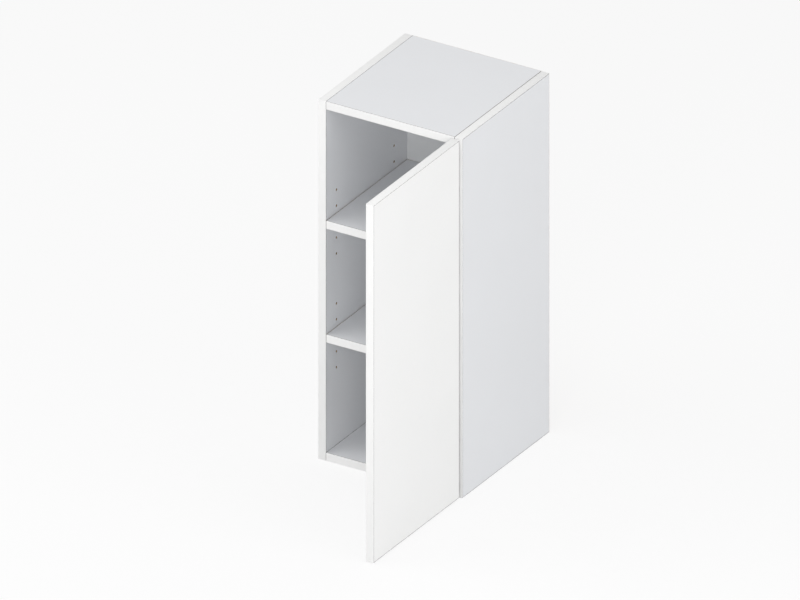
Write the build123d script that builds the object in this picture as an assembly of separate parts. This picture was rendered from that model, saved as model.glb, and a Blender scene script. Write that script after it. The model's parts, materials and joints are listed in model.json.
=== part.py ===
from build123d import *
import cmath
import os
from math import radians, sqrt

# A narrow kitchen wall cabinet: a boarded carcass with two loose shelves, a thin back panel, and one
# full overlay door on two concealed cup hinges, standing open by REST_ANGLE.
#
# Millimetres. +X to the right, the front faces -Y, +Z up. The origin lies on the wall plane, midway
# between the sides, level with the underside. Hinge drawings are made in plan, as complex numbers:
# the real part runs along +X and the imaginary part is the distance behind the carcass front.

os.makedirs("parts", exist_ok=True)

# ------------------------------------------------------------------ carcass sizes
WIDTH = 300.0  # over both side panels
HEIGHT = 720.0
DEPTH = 300.0  # carcass alone, without the door
BOARD = 16.0  # chipboard of the carcass and the shelves
BAND = 1.0  # edge bands
BAND_ROUND = 0.8  # rounding along the outer edges of a band
BACK = 3.0  # hardboard back panel
BACK_INSET = 16.0  # rear edges to the rear face of the back panel
GROOVE_DEPTH = 7.0
GROOVE_PLAY = 0.1  # on each face of the back panel
BACK_END_PLAY = 0.5  # at the bottom of each groove
FIT = 0.05  # radial play of a pin, dowel or screw in its hole
SCREW_PLAY = 0.2  # radial play of a screw in the sheet that it holds
END_ROOM = 0.5  # hole beyond the end of what it takes
OVERRUN = 1.0  # how far a cut starts outside the face that it enters

# ------------------------------------------------------------------ shelves and their pins
SHELF_RISE = 221.0  # top of the bottom panel to the underside of the lower shelf
SHELF_DROP = 239.0  # underside of the top panel to the underside of the upper shelf
SHELF_PLAY = 1.0  # shelf to each side panel and to the back panel
PIN_PITCH = 32.0
PIN_HOLES = 5  # holes in each group
PIN_HOLE_RADIUS = 2.5
PIN_HOLE_DEPTH = 12.0
PIN_FRONT = 37.0  # front row, behind the carcass front
PIN_REAR = 64.0  # rear row, before the rear edges
PIN_SEAT = 2.0  # height of a pin's flat above its centre
PIN_LENGTH = 7.0
PIN_PLUG_LENGTH = 9.0
PIN_PEG_RADIUS = 3.0

# ------------------------------------------------------------------ door
DOOR_BOARD = 16.0
DOOR_REVEAL = 1.5  # door edge to the outer face of the carcass
DOOR_GAP = 2.0  # closed door to the carcass front
REST_ANGLE = 90.0  # opening of the door as stored
DOOR_LIMIT = 110.0  # full opening of the door
BUMPER_RADIUS = 4.0
BUMPER_HEIGHT = 1.4
BUMPER_ROUND = 1.0
BUMPER_INSET = 40.0  # from the top and the bottom of the door

# ------------------------------------------------------------------ corner fittings
CONNECTOR_FRONT = 50.0  # cam behind the carcass front
CONNECTOR_REAR = 60.0  # cam before the rear edges
DOWEL_OFFSET = 32.0  # dowel beside its cam, towards the middle
CAM_RADIUS = 7.5
CAM_BORE_BEYOND = 4.5  # bolt's axis, midway in the board, to the blind end of the cam's bore
CAM_SETBACK = 34.0  # cam centre to the joint
CAM_PLAY = 0.5  # round the bolt's head and waist, inside the cam
CAM_CROSS_WIDTH = 1.3
CAM_CROSS_DEPTH = 1.5
BOLT_NECK_RADIUS = 3.0
BOLT_HEAD_RADIUS = 3.4
BOLT_HEAD_LENGTH = 3.0
BOLT_WAIST_RADIUS = 1.8
BOLT_THREAD_RADIUS = 2.5
BOLT_THREAD_LENGTH = 10.5
BOLT_CHANNEL_RADIUS = 3.75
DOWEL_RADIUS = 4.0
DOWEL_LENGTH = 30.0
DOWEL_IN_SIDE = 10.5
DOWEL_CHAMFER = 1.0
CAP_HEIGHT = 0.9  # cap pressed into the mouth of the cam's bore
CAP_SUNK = 0.1  # underside of the board to the cap
CAP_ROUND = 0.3

# ------------------------------------------------------------------ wall rail
RAIL_DROP = 16.0  # top panel to the top of the rail's lip
RAIL_STEEL = 2.0
RAIL_HEIGHT = 34.0
RAIL_STANDOFF = 6.0  # wall to the rear of the lip
RAIL_JOGGLE = 18.0  # height of the lip with its joggle
RAIL_END_PLAY = 4.0  # rail to each side panel
RAIL_HOLE_RADIUS = 3.5
RAIL_HOLE_SPACING = 192.0

# ------------------------------------------------------------------ hanging brackets
HANGER_HEIGHT = 52.0
HANGER_LENGTH = 44.0
HANGER_WIDTH = 17.0
HANGER_DROP = 4.0  # top panel to the case
HANGER_WALL = 2.0
HANGER_FRONT_WALL = 2.5
COVER_WALL = 1.2
COVER_PLAY = 0.8
COVER_HEAD_ROOM = 2.0  # in front of the case, for the screws' heads
COVER_HOLE_PLAY = 0.4  # round a screw's head
HOOK_STEEL = 3.0
HOOK_BAR = 8.0
HOOK_NOSE = 8.0
HOOK_WALL_PLAY = 1.0  # wall to the nose
HOOK_LIP_PLAY = 0.5  # nose to the lip
HOOK_TO_SCREWS = 4.5  # middle of the hook to the adjusting screws
SCREW_INSET = 3.5  # open side of the case to the adjusting screws
TAB_SETBACK = 12.0  # front of the case to the hook's drilled tab
TAB_HALF = 5.0
TAB_EDGE = 1.0  # steel beside the screw's hole
LEDGE_LENGTH = 12.0
NOTCH_PLAY = 4.0  # back panel's notch below the hook's nose
GUIDE_SIZE = 3.0  # height of the guide under the hook's bar, and its reach beside it
GUIDE_SETBACK = 1.0  # tab to the guide
GUIDE_PLAY = 0.2
PLUG_RADIUS = 5.0
PLUG_LENGTH = 10.5
PLUG_SETBACK = 37.0  # plugs before the rear edges
PLUG_DROP = 7.0  # top of the case to its upper plug
PLUG_SCREW_LENGTH = 9.5
ADJUSTER_RADIUS = 2.0
ADJUSTER_TAIL = 4.0  # depth screw beyond the tab
DEPTH_SCREW_DROP = 16.0  # top of the rail to the depth screw

# ------------------------------------------------------------------ screw heads: radius, height
ADJUSTER_HEAD = (3.5, 1.8)
PLATE_SCREW_HEAD = (4.2, 2.2)
ARM_SCREW_HEAD = (3.6, 2.0)
CUP_SCREW_HEAD = (3.6, 1.8)
HEAD_ROUND = 0.4  # share of the head's height
RECESS_DEPTH = 0.55  # share of the head's height
RECESS_SPAN = 1.1  # share of the head's radius
RECESS_WIDTH = 0.24

# ------------------------------------------------------------------ concealed hinges: cup
HINGE_INSET = 100.0  # hinge centre to each end of the carcass
HINGE_OVERLAY = 14.5  # cover of the side panel by the closed door that the hinge is made for
CUP_RADIUS = 17.5
CUP_DEPTH = 12.5
CUP_WALL = 0.8
CUP_EDGE = 3.0  # door edge to the cup
CUP_FLANGE = 1.2
CUP_RING = 2.0  # flange round the cup
CUP_RING_CUT = 8.0  # door edge to the flange, which is cut short there
CUP_WING = 14.0  # width of the wings under the screws
CUP_SCREW_SPACING = 45.0
CUP_SCREW_OFFSET = 9.5  # beyond the cup's centre
CUP_SCREW_RADIUS = 1.75
CUP_SCREW_LENGTH = 12.0
EAR_MARGIN = 0.4

# ------------------------------------------------------------------ concealed hinges: plate and arm
PLATE_SETBACK = 37.0
PLATE_SCREW_SPACING = 32.0
PLATE_SCREW_RADIUS = 2.5
PLATE_SCREW_LENGTH = 11.0  # in the side panel
PLATE_STEEL = 2.5
PLATE_START = 26.0  # carcass front to the plate
PLATE_HALF = 8.5
PLATE_CORNER = 5.0
PLATE_MARGIN = 1.0  # plate beyond the arm, and arm beyond the spine
WING_HALF = 6.5
SPINE_START = 28.0
SPINE_RISE = 9.0
SPINE_HALF = 4.6
ARM_STEEL = 1.4
ARM_LOW_RISE = 15.5  # side panel to the arm's rear end
ARM_SLOPE = (26.0, 44.0)
ARM_END = 68.0
ARM_CLEARANCE = 3.4  # side panel to the arm's cheeks
ARM_BACK_START = 4.0  # inner pivot to the arm's back
ARM_EYE_MARGIN = 0.5  # arm round the links' eyes
ARM_SCREW_BITE = 5.0  # in the spine
SIDE_SCREW_SETBACK = 50.0
DEPTH_SCREW_SETBACK = 61.0
SPRING_STEEL = 0.7
SPRING_HALF = 2.4
SPRING_GAP = 0.3  # to the inner link's eye
SPRING_START = 25.5
SPRING_LEAF = 0.6  # share of the arm's slope

# ------------------------------------------------------------------ concealed hinges: links
PIVOT_RADIUS = 1.15
RIVET_PLAY = 0.3  # between the short rivets and the inner link
RIVET_PROUD = 0.4
EYE_RADIUS = 2.2
SLOT_WALL = 0.85
LINK_HALF = 1.25  # half the width of a link in plan
INNER_LINK_Z = 3.0  # half the height of the middle link
OUTER_LINK_Z = (3.4, 4.8)  # each cheek of the outer link, from the hinge's middle
ARM_Z = (5.2, 6.8)  # each cheek of the arm, and each ear of the cup
WEB_SPAN = (2.0, 12.0)  # web of the outer link, from the arm's pivot
# Pivots: on the arm as (inboard of the side panel's face, behind the front), on the door as
# (in from the door's edge, below its inner face).
OUTER_ARM_PIVOT = (16.92, 19.93)
OUTER_DOOR_PIVOT = (7.17, 2.66)
INNER_ARM_PIVOT = (19.69, 11.06)
INNER_DOOR_PIVOT = (9.1, 7.11)
OUTER_KNEE = (12.9, 5.4)  # bends of the two links with the door closed, as on the door
INNER_KNEE = (20.4, 9.0)
OUTER_SHARE = -0.195  # turn of each link for each degree of opening
INNER_SHARE = -0.078

# ------------------------------------------------------------------ worked out from the sizes
HALF = WIDTH / 2
INNER = HALF - BOARD
FRONT = -DEPTH
BACK_REAR = -BACK_INSET
BACK_FRONT = BACK_REAR - BACK
TOP_UNDERSIDE = HEIGHT - BOARD
SHELVES = {"upper": TOP_UNDERSIDE - SHELF_DROP, "lower": BOARD + SHELF_RISE}  # their undersides
HINGES = {"upper": HEIGHT - HINGE_INSET, "lower": HINGE_INSET}
JOINT_LEVELS = {"top": TOP_UNDERSIDE, "bottom": 0.0}  # undersides of the two horizontal panels
DOOR_EDGE = HALF - DOOR_REVEAL
DOOR_INNER = FRONT - DOOR_GAP
DOOR_OUTER = DOOR_INNER - DOOR_BOARD
DOOR_BOTTOM = DOOR_REVEAL
DOOR_TOP = HEIGHT - DOOR_REVEAL
X_AXIS = (1, 0, 0)
Y_AXIS = (0, 1, 0)
Z_AXIS = (0, 0, 1)
TO_LEFT = (-1, 0, 0)
TO_FRONT = (0, -1, 0)
DOWN = (0, 0, -1)


# ------------------------------------------------------------------ shapes used everywhere
def block(x0, x1, y0, y1, z0, z1):
    """A box between two corners, given in either order."""
    middle = Pos((x0 + x1) / 2, (y0 + y1) / 2, (z0 + z1) / 2)
    return middle * Box(abs(x1 - x0), abs(y1 - y0), abs(z1 - z0))


def rod(start, direction, radius, length):
    """A cylinder from a point along a direction."""
    plane = Plane(origin=start, z_dir=direction)
    return plane * Cylinder(radius, length, align=(Align.CENTER, Align.CENTER, Align.MIN))


def drill(mouth, direction, radius, depth):
    """What a drill takes out, from just outside the hole's mouth to its depth."""
    start = Vector(*mouth) - OVERRUN * Vector(*direction)
    return rod(start, direction, radius, depth + OVERRUN)


def screw(seat, direction, shank, length, head):
    """A pan-head screw with a cross recess. The head stands back from the seat."""
    head_radius, head_height = head
    plane = Plane(origin=seat, z_dir=direction)
    top = plane * Pos(0, 0, -head_height)
    button = plane * Cylinder(head_radius, head_height, align=(Align.CENTER, Align.CENTER, Align.MAX))
    rim = button.edges().filter_by(GeomType.CIRCLE).sort_by_distance(top.position)[0]
    button = fillet(rim, head_height * HEAD_ROUND)
    slot = Box(head_radius * RECESS_SPAN, head_radius * RECESS_WIDTH, 2 * head_height * RECESS_DEPTH)
    recess = top * (slot + Rot(Z=90) * slot)
    return button - recess + rod(seat, direction, shank, length)


def edge_band(start, along, outward, length, width=BOARD):
    """A strip glued on a board's edge, both outer corners rounded. It starts at the middle of the
    glued face and runs along one direction."""
    across = Vector(*outward).cross(Vector(*along))
    section = Rectangle(width, BAND, align=(Align.CENTER, Align.MIN))
    section = fillet(section.vertices().group_by(Axis.Y)[-1], BAND_ROUND)
    plane = Plane(origin=start, x_dir=across, z_dir=along)
    return extrude(plane * section, length)


def save(name, *shapes):
    """Write one sub-part; like pieces make a group of separate solids."""
    solids = [solid for shape in shapes for solid in shape.solids()]
    export_step(solids[0] if len(solids) == 1 else Compound(solids), f"parts/{name}.step")


def mirrored(shape):
    """The left-hand twin of a right-hand shape."""
    return mirror(shape, about=Plane.YZ)


def both_hands(pieces):
    """Right-hand pieces with their left-hand twins."""
    return pieces + [mirrored(piece) for piece in pieces]


# ------------------------------------------------------------------ corner fittings
CONNECTOR_ROWS = (FRONT + CONNECTOR_FRONT, -CONNECTOR_REAR)
DOWEL_ROWS = (FRONT + CONNECTOR_FRONT + DOWEL_OFFSET, -CONNECTOR_REAR - DOWEL_OFFSET)
BOLT_HEAD_START = CAM_SETBACK - BOLT_HEAD_LENGTH / 2
BOLT_NECK_LENGTH = CAM_SETBACK - CAM_RADIUS - CAM_PLAY  # the thick neck ends short of the cam
CAM_BORE_DEPTH = BOARD / 2 + CAM_BORE_BEYOND


def cam_disc(y, underside):
    """The round cam, with a pocket for the bolt's head and a cross recess below."""
    x = INNER - CAM_SETBACK
    axis_z = underside + BOARD / 2
    low = underside + CAP_SUNK + CAP_HEIGHT
    top = underside + CAM_BORE_DEPTH - FIT
    cam = rod((x, y, low), Z_AXIS, CAM_RADIUS - FIT, top - low)
    mouth = (x + BOLT_HEAD_LENGTH, y, axis_z)
    pocket = rod(mouth, TO_LEFT, BOLT_HEAD_RADIUS + CAM_PLAY, 2 * BOLT_HEAD_LENGTH)
    passage = rod((x, y, axis_z), X_AXIS, BOLT_WAIST_RADIUS + CAM_PLAY, CAM_RADIUS)
    slot = Box(CAM_RADIUS, CAM_CROSS_WIDTH, 2 * CAM_CROSS_DEPTH)
    return cam - pocket - passage - Pos(x, y, low) * (slot + Rot(Z=90) * slot)


def cam_bolt(y, underside):
    """The bolt that screws into the side panel and ends in the cam."""
    z = underside + BOARD / 2
    waist_length = BOLT_HEAD_START - BOLT_NECK_LENGTH
    thread = rod((INNER, y, z), X_AXIS, BOLT_THREAD_RADIUS - FIT, BOLT_THREAD_LENGTH)
    neck = rod((INNER, y, z), TO_LEFT, BOLT_NECK_RADIUS, BOLT_NECK_LENGTH)
    waist = rod((INNER - BOLT_NECK_LENGTH, y, z), TO_LEFT, BOLT_WAIST_RADIUS, waist_length)
    head = rod((INNER - BOLT_HEAD_START, y, z), TO_LEFT, BOLT_HEAD_RADIUS, BOLT_HEAD_LENGTH)
    return thread + neck + waist + head


def cam_cap(y, underside):
    """The thin cap pressed in over a cam, all but flush with the board."""
    cap = rod((INNER - CAM_SETBACK, y, underside + CAP_SUNK), Z_AXIS, CAM_RADIUS - FIT, CAP_HEIGHT)
    return fillet(cap.faces().sort_by(Axis.Z)[0].edges(), CAP_ROUND)


def dowel(y, underside):
    """A wooden dowel across the joint, chamfered at both ends."""
    start = (INNER + DOWEL_IN_SIDE, y, underside + BOARD / 2)
    pin = rod(start, TO_LEFT, DOWEL_RADIUS - FIT, DOWEL_LENGTH)
    return chamfer(pin.edges().filter_by(GeomType.CIRCLE), DOWEL_CHAMFER)


def corner_holes_in_side(underside):
    """What the dowels and bolts of one joint take out of a right side panel."""
    z = underside + BOARD / 2
    dowels = [drill((INNER, y, z), X_AXIS, DOWEL_RADIUS, DOWEL_IN_SIDE + END_ROOM) for y in DOWEL_ROWS]
    threads = [drill((INNER, y, z), X_AXIS, BOLT_THREAD_RADIUS, BOLT_THREAD_LENGTH + END_ROOM)
               for y in CONNECTOR_ROWS]
    return dowels + threads


def corner_holes_in_panel(underside):
    """What the right-hand joint takes out of a horizontal panel."""
    z = underside + BOARD / 2
    dowel_depth = DOWEL_LENGTH - DOWEL_IN_SIDE + END_ROOM
    holes = [drill((INNER, y, z), TO_LEFT, DOWEL_RADIUS, dowel_depth) for y in DOWEL_ROWS]
    for y in CONNECTOR_ROWS:
        holes.append(drill((INNER - CAM_SETBACK, y, underside), Z_AXIS, CAM_RADIUS, CAM_BORE_DEPTH))
        holes.append(drill((INNER, y, z), TO_LEFT, BOLT_CHANNEL_RADIUS, CAM_SETBACK))
    return holes


# ------------------------------------------------------------------ carcass boards
PIN_ROWS = (FRONT + PIN_FRONT, -PIN_REAR)
PLATE_SCREW_Y = FRONT + PLATE_SETBACK
RAIL_TOP = TOP_UNDERSIDE - RAIL_DROP
HANGER_TOP = TOP_UNDERSIDE - HANGER_DROP
HANGER_BOTTOM = HANGER_TOP - HANGER_HEIGHT
HANGER_FRONT = BACK_FRONT - HANGER_LENGTH
HANGER_OPEN_SIDE = INNER - HANGER_WIDTH
PLUG_LEVELS = (HANGER_TOP - PLUG_DROP - PIN_PITCH, HANGER_TOP - PLUG_DROP)


def plate_screw_levels(z):
    """Heights of the two screws of a mounting plate at one hinge."""
    return z - PLATE_SCREW_SPACING / 2, z + PLATE_SCREW_SPACING / 2


def right_side_blank():
    """The drilling that both side panels share, as the right-hand one."""
    panel = block(INNER, HALF, FRONT + BAND, 0, BAND, HEIGHT - BAND)
    cuts = [block(INNER - OVERRUN, INNER + GROOVE_DEPTH, BACK_REAR + GROOVE_PLAY, BACK_FRONT - GROOVE_PLAY,
                  0, HEIGHT)]
    for underside in JOINT_LEVELS.values():
        cuts += corner_holes_in_side(underside)
    for shelf_z in SHELVES.values():
        for step in range(PIN_HOLES):
            z = shelf_z - PIN_SEAT + (step - PIN_HOLES // 2) * PIN_PITCH
            cuts += [drill((INNER, y, z), X_AXIS, PIN_HOLE_RADIUS, PIN_HOLE_DEPTH) for y in PIN_ROWS]
    for z in PLUG_LEVELS:
        cuts.append(drill((INNER, -PLUG_SETBACK, z), X_AXIS, PLUG_RADIUS, PLUG_LENGTH + END_ROOM))
    return panel - cuts


def right_side_panel():
    """The hinge side, drilled for the mounting plates too."""
    holes = [drill((INNER, PLATE_SCREW_Y, level), X_AXIS, PLATE_SCREW_RADIUS, PLATE_SCREW_LENGTH + END_ROOM)
             for z in HINGES.values() for level in plate_screw_levels(z)]
    return right_side_blank() - holes


def side_bands():
    """Front, top and bottom bands of the right side panel."""
    x = INNER + BOARD / 2
    run = DEPTH - BAND
    front = edge_band((x, FRONT + BAND, 0), Z_AXIS, TO_FRONT, HEIGHT)
    top = edge_band((x, FRONT + BAND, HEIGHT - BAND), Y_AXIS, Z_AXIS, run)
    bottom = edge_band((x, FRONT + BAND, BAND), Y_AXIS, DOWN, run)
    return [front, top, bottom]


def horizontal_panel(underside, groove_z):
    """The top or the bottom panel, between the sides. groove_z gives the groove's two levels."""
    panel = block(-INNER, INNER, FRONT + BAND, 0, underside, underside + BOARD)
    groove = block(-HALF, HALF, BACK_REAR + GROOVE_PLAY, BACK_FRONT - GROOVE_PLAY, *groove_z)
    return panel - [groove] - both_hands(corner_holes_in_panel(underside))


def front_band(underside, half_width):
    """The band on the front of a horizontal board."""
    start = (-half_width, FRONT + BAND, underside + BOARD / 2)
    return edge_band(start, X_AXIS, TO_FRONT, 2 * half_width)


def back_panel():
    """The hardboard back, notched in both upper corners for the hanging hooks."""
    reach = GROOVE_DEPTH - BACK_END_PLAY
    panel = block(-INNER - reach, INNER + reach, BACK_REAR, BACK_FRONT,
                  BOARD - reach, TOP_UNDERSIDE + reach)
    notch = block(HANGER_OPEN_SIDE + HANGER_WALL, HALF, BACK_REAR + OVERRUN, BACK_FRONT - OVERRUN,
                  RAIL_TOP - HOOK_NOSE - NOTCH_PLAY, HEIGHT)
    return panel - both_hands([notch])


def shelf(underside):
    """A loose shelf, without its front band."""
    half = INNER - SHELF_PLAY
    return block(-half, half, FRONT + BAND, BACK_FRONT - SHELF_PLAY, underside, underside + BOARD)


def shelf_pins(underside):
    """Four plug-in pins whose flats carry the shelf."""
    z = underside - PIN_SEAT
    pins = []
    for y in PIN_ROWS:
        plug = rod((INNER, y, z), X_AXIS, PIN_HOLE_RADIUS - FIT, PIN_PLUG_LENGTH)
        peg = rod((INNER, y, z), TO_LEFT, PIN_PEG_RADIUS, PIN_LENGTH)
        above_flat = block(INNER + OVERRUN, INNER - PIN_LENGTH - OVERRUN, y - PIN_PEG_RADIUS,
                           y + PIN_PEG_RADIUS, underside, underside + PIN_PEG_RADIUS)
        pins.append(plug + (peg - above_flat))
    return both_hands(pins)


# ------------------------------------------------------------------ wall rail and hanging brackets
RAIL_BOTTOM = RAIL_TOP - RAIL_HEIGHT
RAIL_HOLE_Z = (RAIL_BOTTOM + RAIL_TOP - RAIL_JOGGLE) / 2
LIP_FRONT = -RAIL_STANDOFF - RAIL_STEEL
NOSE_FRONT = HOOK_LIP_PLAY - RAIL_STANDOFF
SCREW_X = HANGER_OPEN_SIDE + SCREW_INSET
HOOK_X = SCREW_X + HOOK_TO_SCREWS
TAB_Y = HANGER_FRONT + TAB_SETBACK
DEPTH_SCREW_Z = RAIL_TOP - DEPTH_SCREW_DROP
HEIGHT_SCREW_Z = RAIL_TOP + HOOK_BAR - HOOK_STEEL - ADJUSTER_RADIUS - FIT  # bears under the hook's ledge
ADJUSTER_LEVELS = (DEPTH_SCREW_Z, HEIGHT_SCREW_Z)


def side_profile(points, x0, x1):
    """A shape given by its outline seen from the side, as (y, z), from one x to another."""
    side_outline = Polyline(*[(x0, y, z) for y, z in points], close=True)
    return extrude(make_face(side_outline), amount=x1 - x0, dir=X_AXIS)


def wall_rail():
    """The steel strip screwed to the wall: a flat base and a lip that a sloping joggle stands off."""
    joggle = RAIL_TOP - RAIL_JOGGLE
    shift = RAIL_STEEL * (sqrt(2) - 1)  # keeps the strip's thickness along the 45 degree slope
    outline_points = [(0, RAIL_BOTTOM), (0, joggle), (-RAIL_STANDOFF, joggle + RAIL_STANDOFF),
                      (-RAIL_STANDOFF, RAIL_TOP), (LIP_FRONT, RAIL_TOP),
                      (LIP_FRONT, joggle + RAIL_STANDOFF - shift), (-RAIL_STEEL, joggle - shift),
                      (-RAIL_STEEL, RAIL_BOTTOM)]
    half = INNER - RAIL_END_PLAY
    hole = drill((RAIL_HOLE_SPACING / 2, 0, RAIL_HOLE_Z), TO_FRONT, RAIL_HOLE_RADIUS, RAIL_STEEL + OVERRUN)
    return side_profile(outline_points, -half, half) - both_hands([hole])


def hanger_hook():
    """The steel hook: a bar over the rail's lip, a nose behind it, and two bent tabs for the screws."""
    bar_top = RAIL_TOP + HOOK_BAR
    tail = TAB_Y + HOOK_STEEL
    tab_low = DEPTH_SCREW_Z - TAB_HALF
    outline_points = [(TAB_Y, bar_top), (-HOOK_WALL_PLAY, bar_top), (-HOOK_WALL_PLAY, RAIL_TOP - HOOK_NOSE),
                      (NOSE_FRONT, RAIL_TOP - HOOK_NOSE), (NOSE_FRONT, RAIL_TOP), (tail, RAIL_TOP),
                      (tail, tab_low), (TAB_Y, tab_low)]
    half = HOOK_STEEL / 2
    hook = side_profile(outline_points, HOOK_X - half, HOOK_X + half)
    inboard = SCREW_X - ADJUSTER_RADIUS - TAB_EDGE
    tab = block(inboard, HOOK_X, TAB_Y, tail, tab_low, DEPTH_SCREW_Z + TAB_HALF)
    ledge = block(inboard, HOOK_X, TAB_Y, TAB_Y + LEDGE_LENGTH, bar_top - HOOK_STEEL, bar_top)
    hole = drill((SCREW_X, TAB_Y, DEPTH_SCREW_Z), Y_AXIS, ADJUSTER_RADIUS + FIT, HOOK_STEEL + OVERRUN)
    return hook + tab + ledge - hole


def hanger_case():
    """The plastic body plugged into the side panel, which guides the hook."""
    plate_face = INNER - HANGER_WALL
    guide_top = RAIL_TOP - GUIDE_PLAY
    case = block(plate_face, INNER, HANGER_FRONT, BACK_FRONT, HANGER_BOTTOM, HANGER_TOP)
    case += block(HANGER_OPEN_SIDE, INNER, HANGER_FRONT, BACK_FRONT, HANGER_TOP - HANGER_WALL, HANGER_TOP)
    case += block(HANGER_OPEN_SIDE, INNER, HANGER_FRONT, BACK_FRONT,
                  HANGER_BOTTOM, HANGER_BOTTOM + HANGER_WALL)
    case += block(HANGER_OPEN_SIDE, INNER, HANGER_FRONT, HANGER_FRONT + HANGER_FRONT_WALL,
                  HANGER_BOTTOM, HANGER_TOP)
    case += block(HOOK_X - GUIDE_SIZE, INNER, TAB_Y + HOOK_STEEL + GUIDE_SETBACK, BACK_FRONT,
                  guide_top - GUIDE_SIZE, guide_top)
    cuts = []
    for z in PLUG_LEVELS:
        case += rod((INNER, -PLUG_SETBACK, z), X_AXIS, PLUG_RADIUS - FIT, PLUG_LENGTH)
        cuts.append(drill((plate_face, -PLUG_SETBACK, z), X_AXIS, ADJUSTER_RADIUS + FIT,
                          PLUG_SCREW_LENGTH + END_ROOM))
    for z in ADJUSTER_LEVELS:
        cuts.append(drill((SCREW_X, HANGER_FRONT, z), Y_AXIS, ADJUSTER_RADIUS + FIT,
                          HANGER_FRONT_WALL + OVERRUN))
    return case - cuts


def hanger_cover():
    """The cap that hides the bracket, open to the side panel and to the rear, with two screw holes."""
    inboard = HANGER_OPEN_SIDE - COVER_PLAY
    front = HANGER_FRONT - COVER_PLAY - COVER_HEAD_ROOM
    low = HANGER_BOTTOM - COVER_PLAY
    high = HANGER_TOP + COVER_PLAY
    shell = block(inboard - COVER_WALL, INNER, front - COVER_WALL, BACK_FRONT,
                  low - COVER_WALL, high + COVER_WALL)
    across = shell.faces().sort_by(Axis.X)
    along = shell.faces().sort_by(Axis.Y)
    shown = set(across[0].edges() + along[0].edges())
    hidden = set(across[-1].edges() + along[-1].edges())
    shell = fillet(ShapeList(shown - hidden), COVER_WALL)
    room = block(inboard, INNER + OVERRUN, front, BACK_FRONT + OVERRUN, low, high)
    holes = [drill((SCREW_X, front - COVER_WALL, z), Y_AXIS, ADJUSTER_HEAD[0] + COVER_HOLE_PLAY,
                   COVER_WALL + OVERRUN) for z in ADJUSTER_LEVELS]
    return shell - ([room] + holes)


def adjuster(z, length):
    """One of the two adjusting screws of a hanging bracket, worked from the front."""
    return screw((SCREW_X, HANGER_FRONT, z), Y_AXIS, ADJUSTER_RADIUS, length, ADJUSTER_HEAD)


def hanger_screws():
    """The two screws that spread the plugs of a case."""
    seat = INNER - HANGER_WALL
    return [screw((seat, -PLUG_SETBACK, z), X_AXIS, ADJUSTER_RADIUS, PLUG_SCREW_LENGTH, ADJUSTER_HEAD)
            for z in PLUG_LEVELS]


# ------------------------------------------------------------------ hinge geometry in plan
# The hinge is made for one overlay. A smaller one lifts the mounting plate and the arm off the side
# panel, and a larger one moves the cup in from the door's edge.
OVERLAY = DOOR_EDGE - INNER
PLATE_LIFT = max(0.0, HINGE_OVERLAY - OVERLAY)
CUP_SHIFT = max(0.0, OVERLAY - HINGE_OVERLAY)
ARM_FACE = INNER - PLATE_LIFT
HINGE_EDGE = DOOR_EDGE - CUP_SHIFT


def turn(degrees):
    """The complex number that turns a plan vector by an angle."""
    return cmath.rect(1, radians(degrees))


def on_arm(pivot):
    """A pivot of the arm, in plan."""
    inboard, behind = pivot
    return complex(ARM_FACE - inboard, behind)


def on_door(pivot):
    """A point of the closed door, in plan."""
    inward, below = pivot
    return complex(HINGE_EDGE - inward, -DOOR_GAP - below)


ARM_OUTER = on_arm(OUTER_ARM_PIVOT)
ARM_INNER = on_arm(INNER_ARM_PIVOT)
DOOR_OUTER_PIVOT = on_door(OUTER_DOOR_PIVOT)
DOOR_INNER_PIVOT = on_door(INNER_DOOR_PIVOT)


def carried(angle, point):
    """Where a point of the closed door lies once the door has opened by an angle: the outer link
    carries its pivot round the arm, and the door turns about that pivot."""
    pivot = ARM_OUTER + (DOOR_OUTER_PIVOT - ARM_OUTER) * turn(OUTER_SHARE * angle)
    return pivot + (point - DOOR_OUTER_PIVOT) * turn(angle)


def slot_of_inner_link():
    """The slot that the door's second pin runs in, found on the closed inner link: its two ends and
    its radius. The pin's path is sampled over the whole opening."""
    path = []
    for step in range(0, int(DOOR_LIMIT) + 1, 5):
        there = carried(step, DOOR_INNER_PIVOT) - ARM_INNER
        path.append(ARM_INNER + there * turn(-INNER_SHARE * step))
    near, far = max(((a, b) for a in path for b in path), key=lambda pair: abs(pair[1] - pair[0]))
    if abs(near - ARM_INNER) > abs(far - ARM_INNER):
        near, far = far, near
    along = (far - near) / abs(far - near)
    offsets = [((point - near) / along).imag for point in path]
    shift = along * 1j * (max(offsets) + min(offsets)) / 2
    radius = PIVOT_RADIUS + (max(offsets) - min(offsets)) / 2 + 1.2 * FIT
    return near + shift, far + shift, radius


def disc(centre, radius):
    """A round in plan."""
    return Pos(centre.real, centre.imag + FRONT) * Circle(radius)


def bar(start, end, half):
    """A bar with round ends in plan."""
    span = end - start
    middle = (start + end) / 2
    place = Pos(middle.real, middle.imag + FRONT) * Rot(Z=cmath.phase(span) * 180 / cmath.pi)
    return place * SlotCenterToCenter(abs(span), 2 * half)


def outline(points):
    """A face in plan from its corners."""
    corners = [(point.real, point.imag + FRONT) for point in points]
    return make_face(Polyline(*corners, close=True))


def layer(sketch, z0, z1):
    """A plan shape between two levels."""
    return extrude(Pos(0, 0, z0) * sketch, z1 - z0)


def both_layers(sketch, levels, z):
    """The same plan shape above and below a hinge's middle."""
    low, high = levels
    return layer(sketch, z + low, z + high) + layer(sketch, z - high, z - low)


def swung(shape, pivot, angle, target=None):
    """A shape turned about a plan pivot, and moved so that the pivot lands on the target."""
    target = pivot if target is None else target
    return (Pos(target.real, target.imag + FRONT, 0) * Rot(Z=angle)
            * Pos(-pivot.real, -pivot.imag - FRONT, 0) * shape)


def opened(shape):
    """A piece of the closed door, as it stands with the door at rest."""
    return swung(shape, DOOR_OUTER_PIVOT, REST_ANGLE, carried(REST_ANGLE, DOOR_OUTER_PIVOT))


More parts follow.
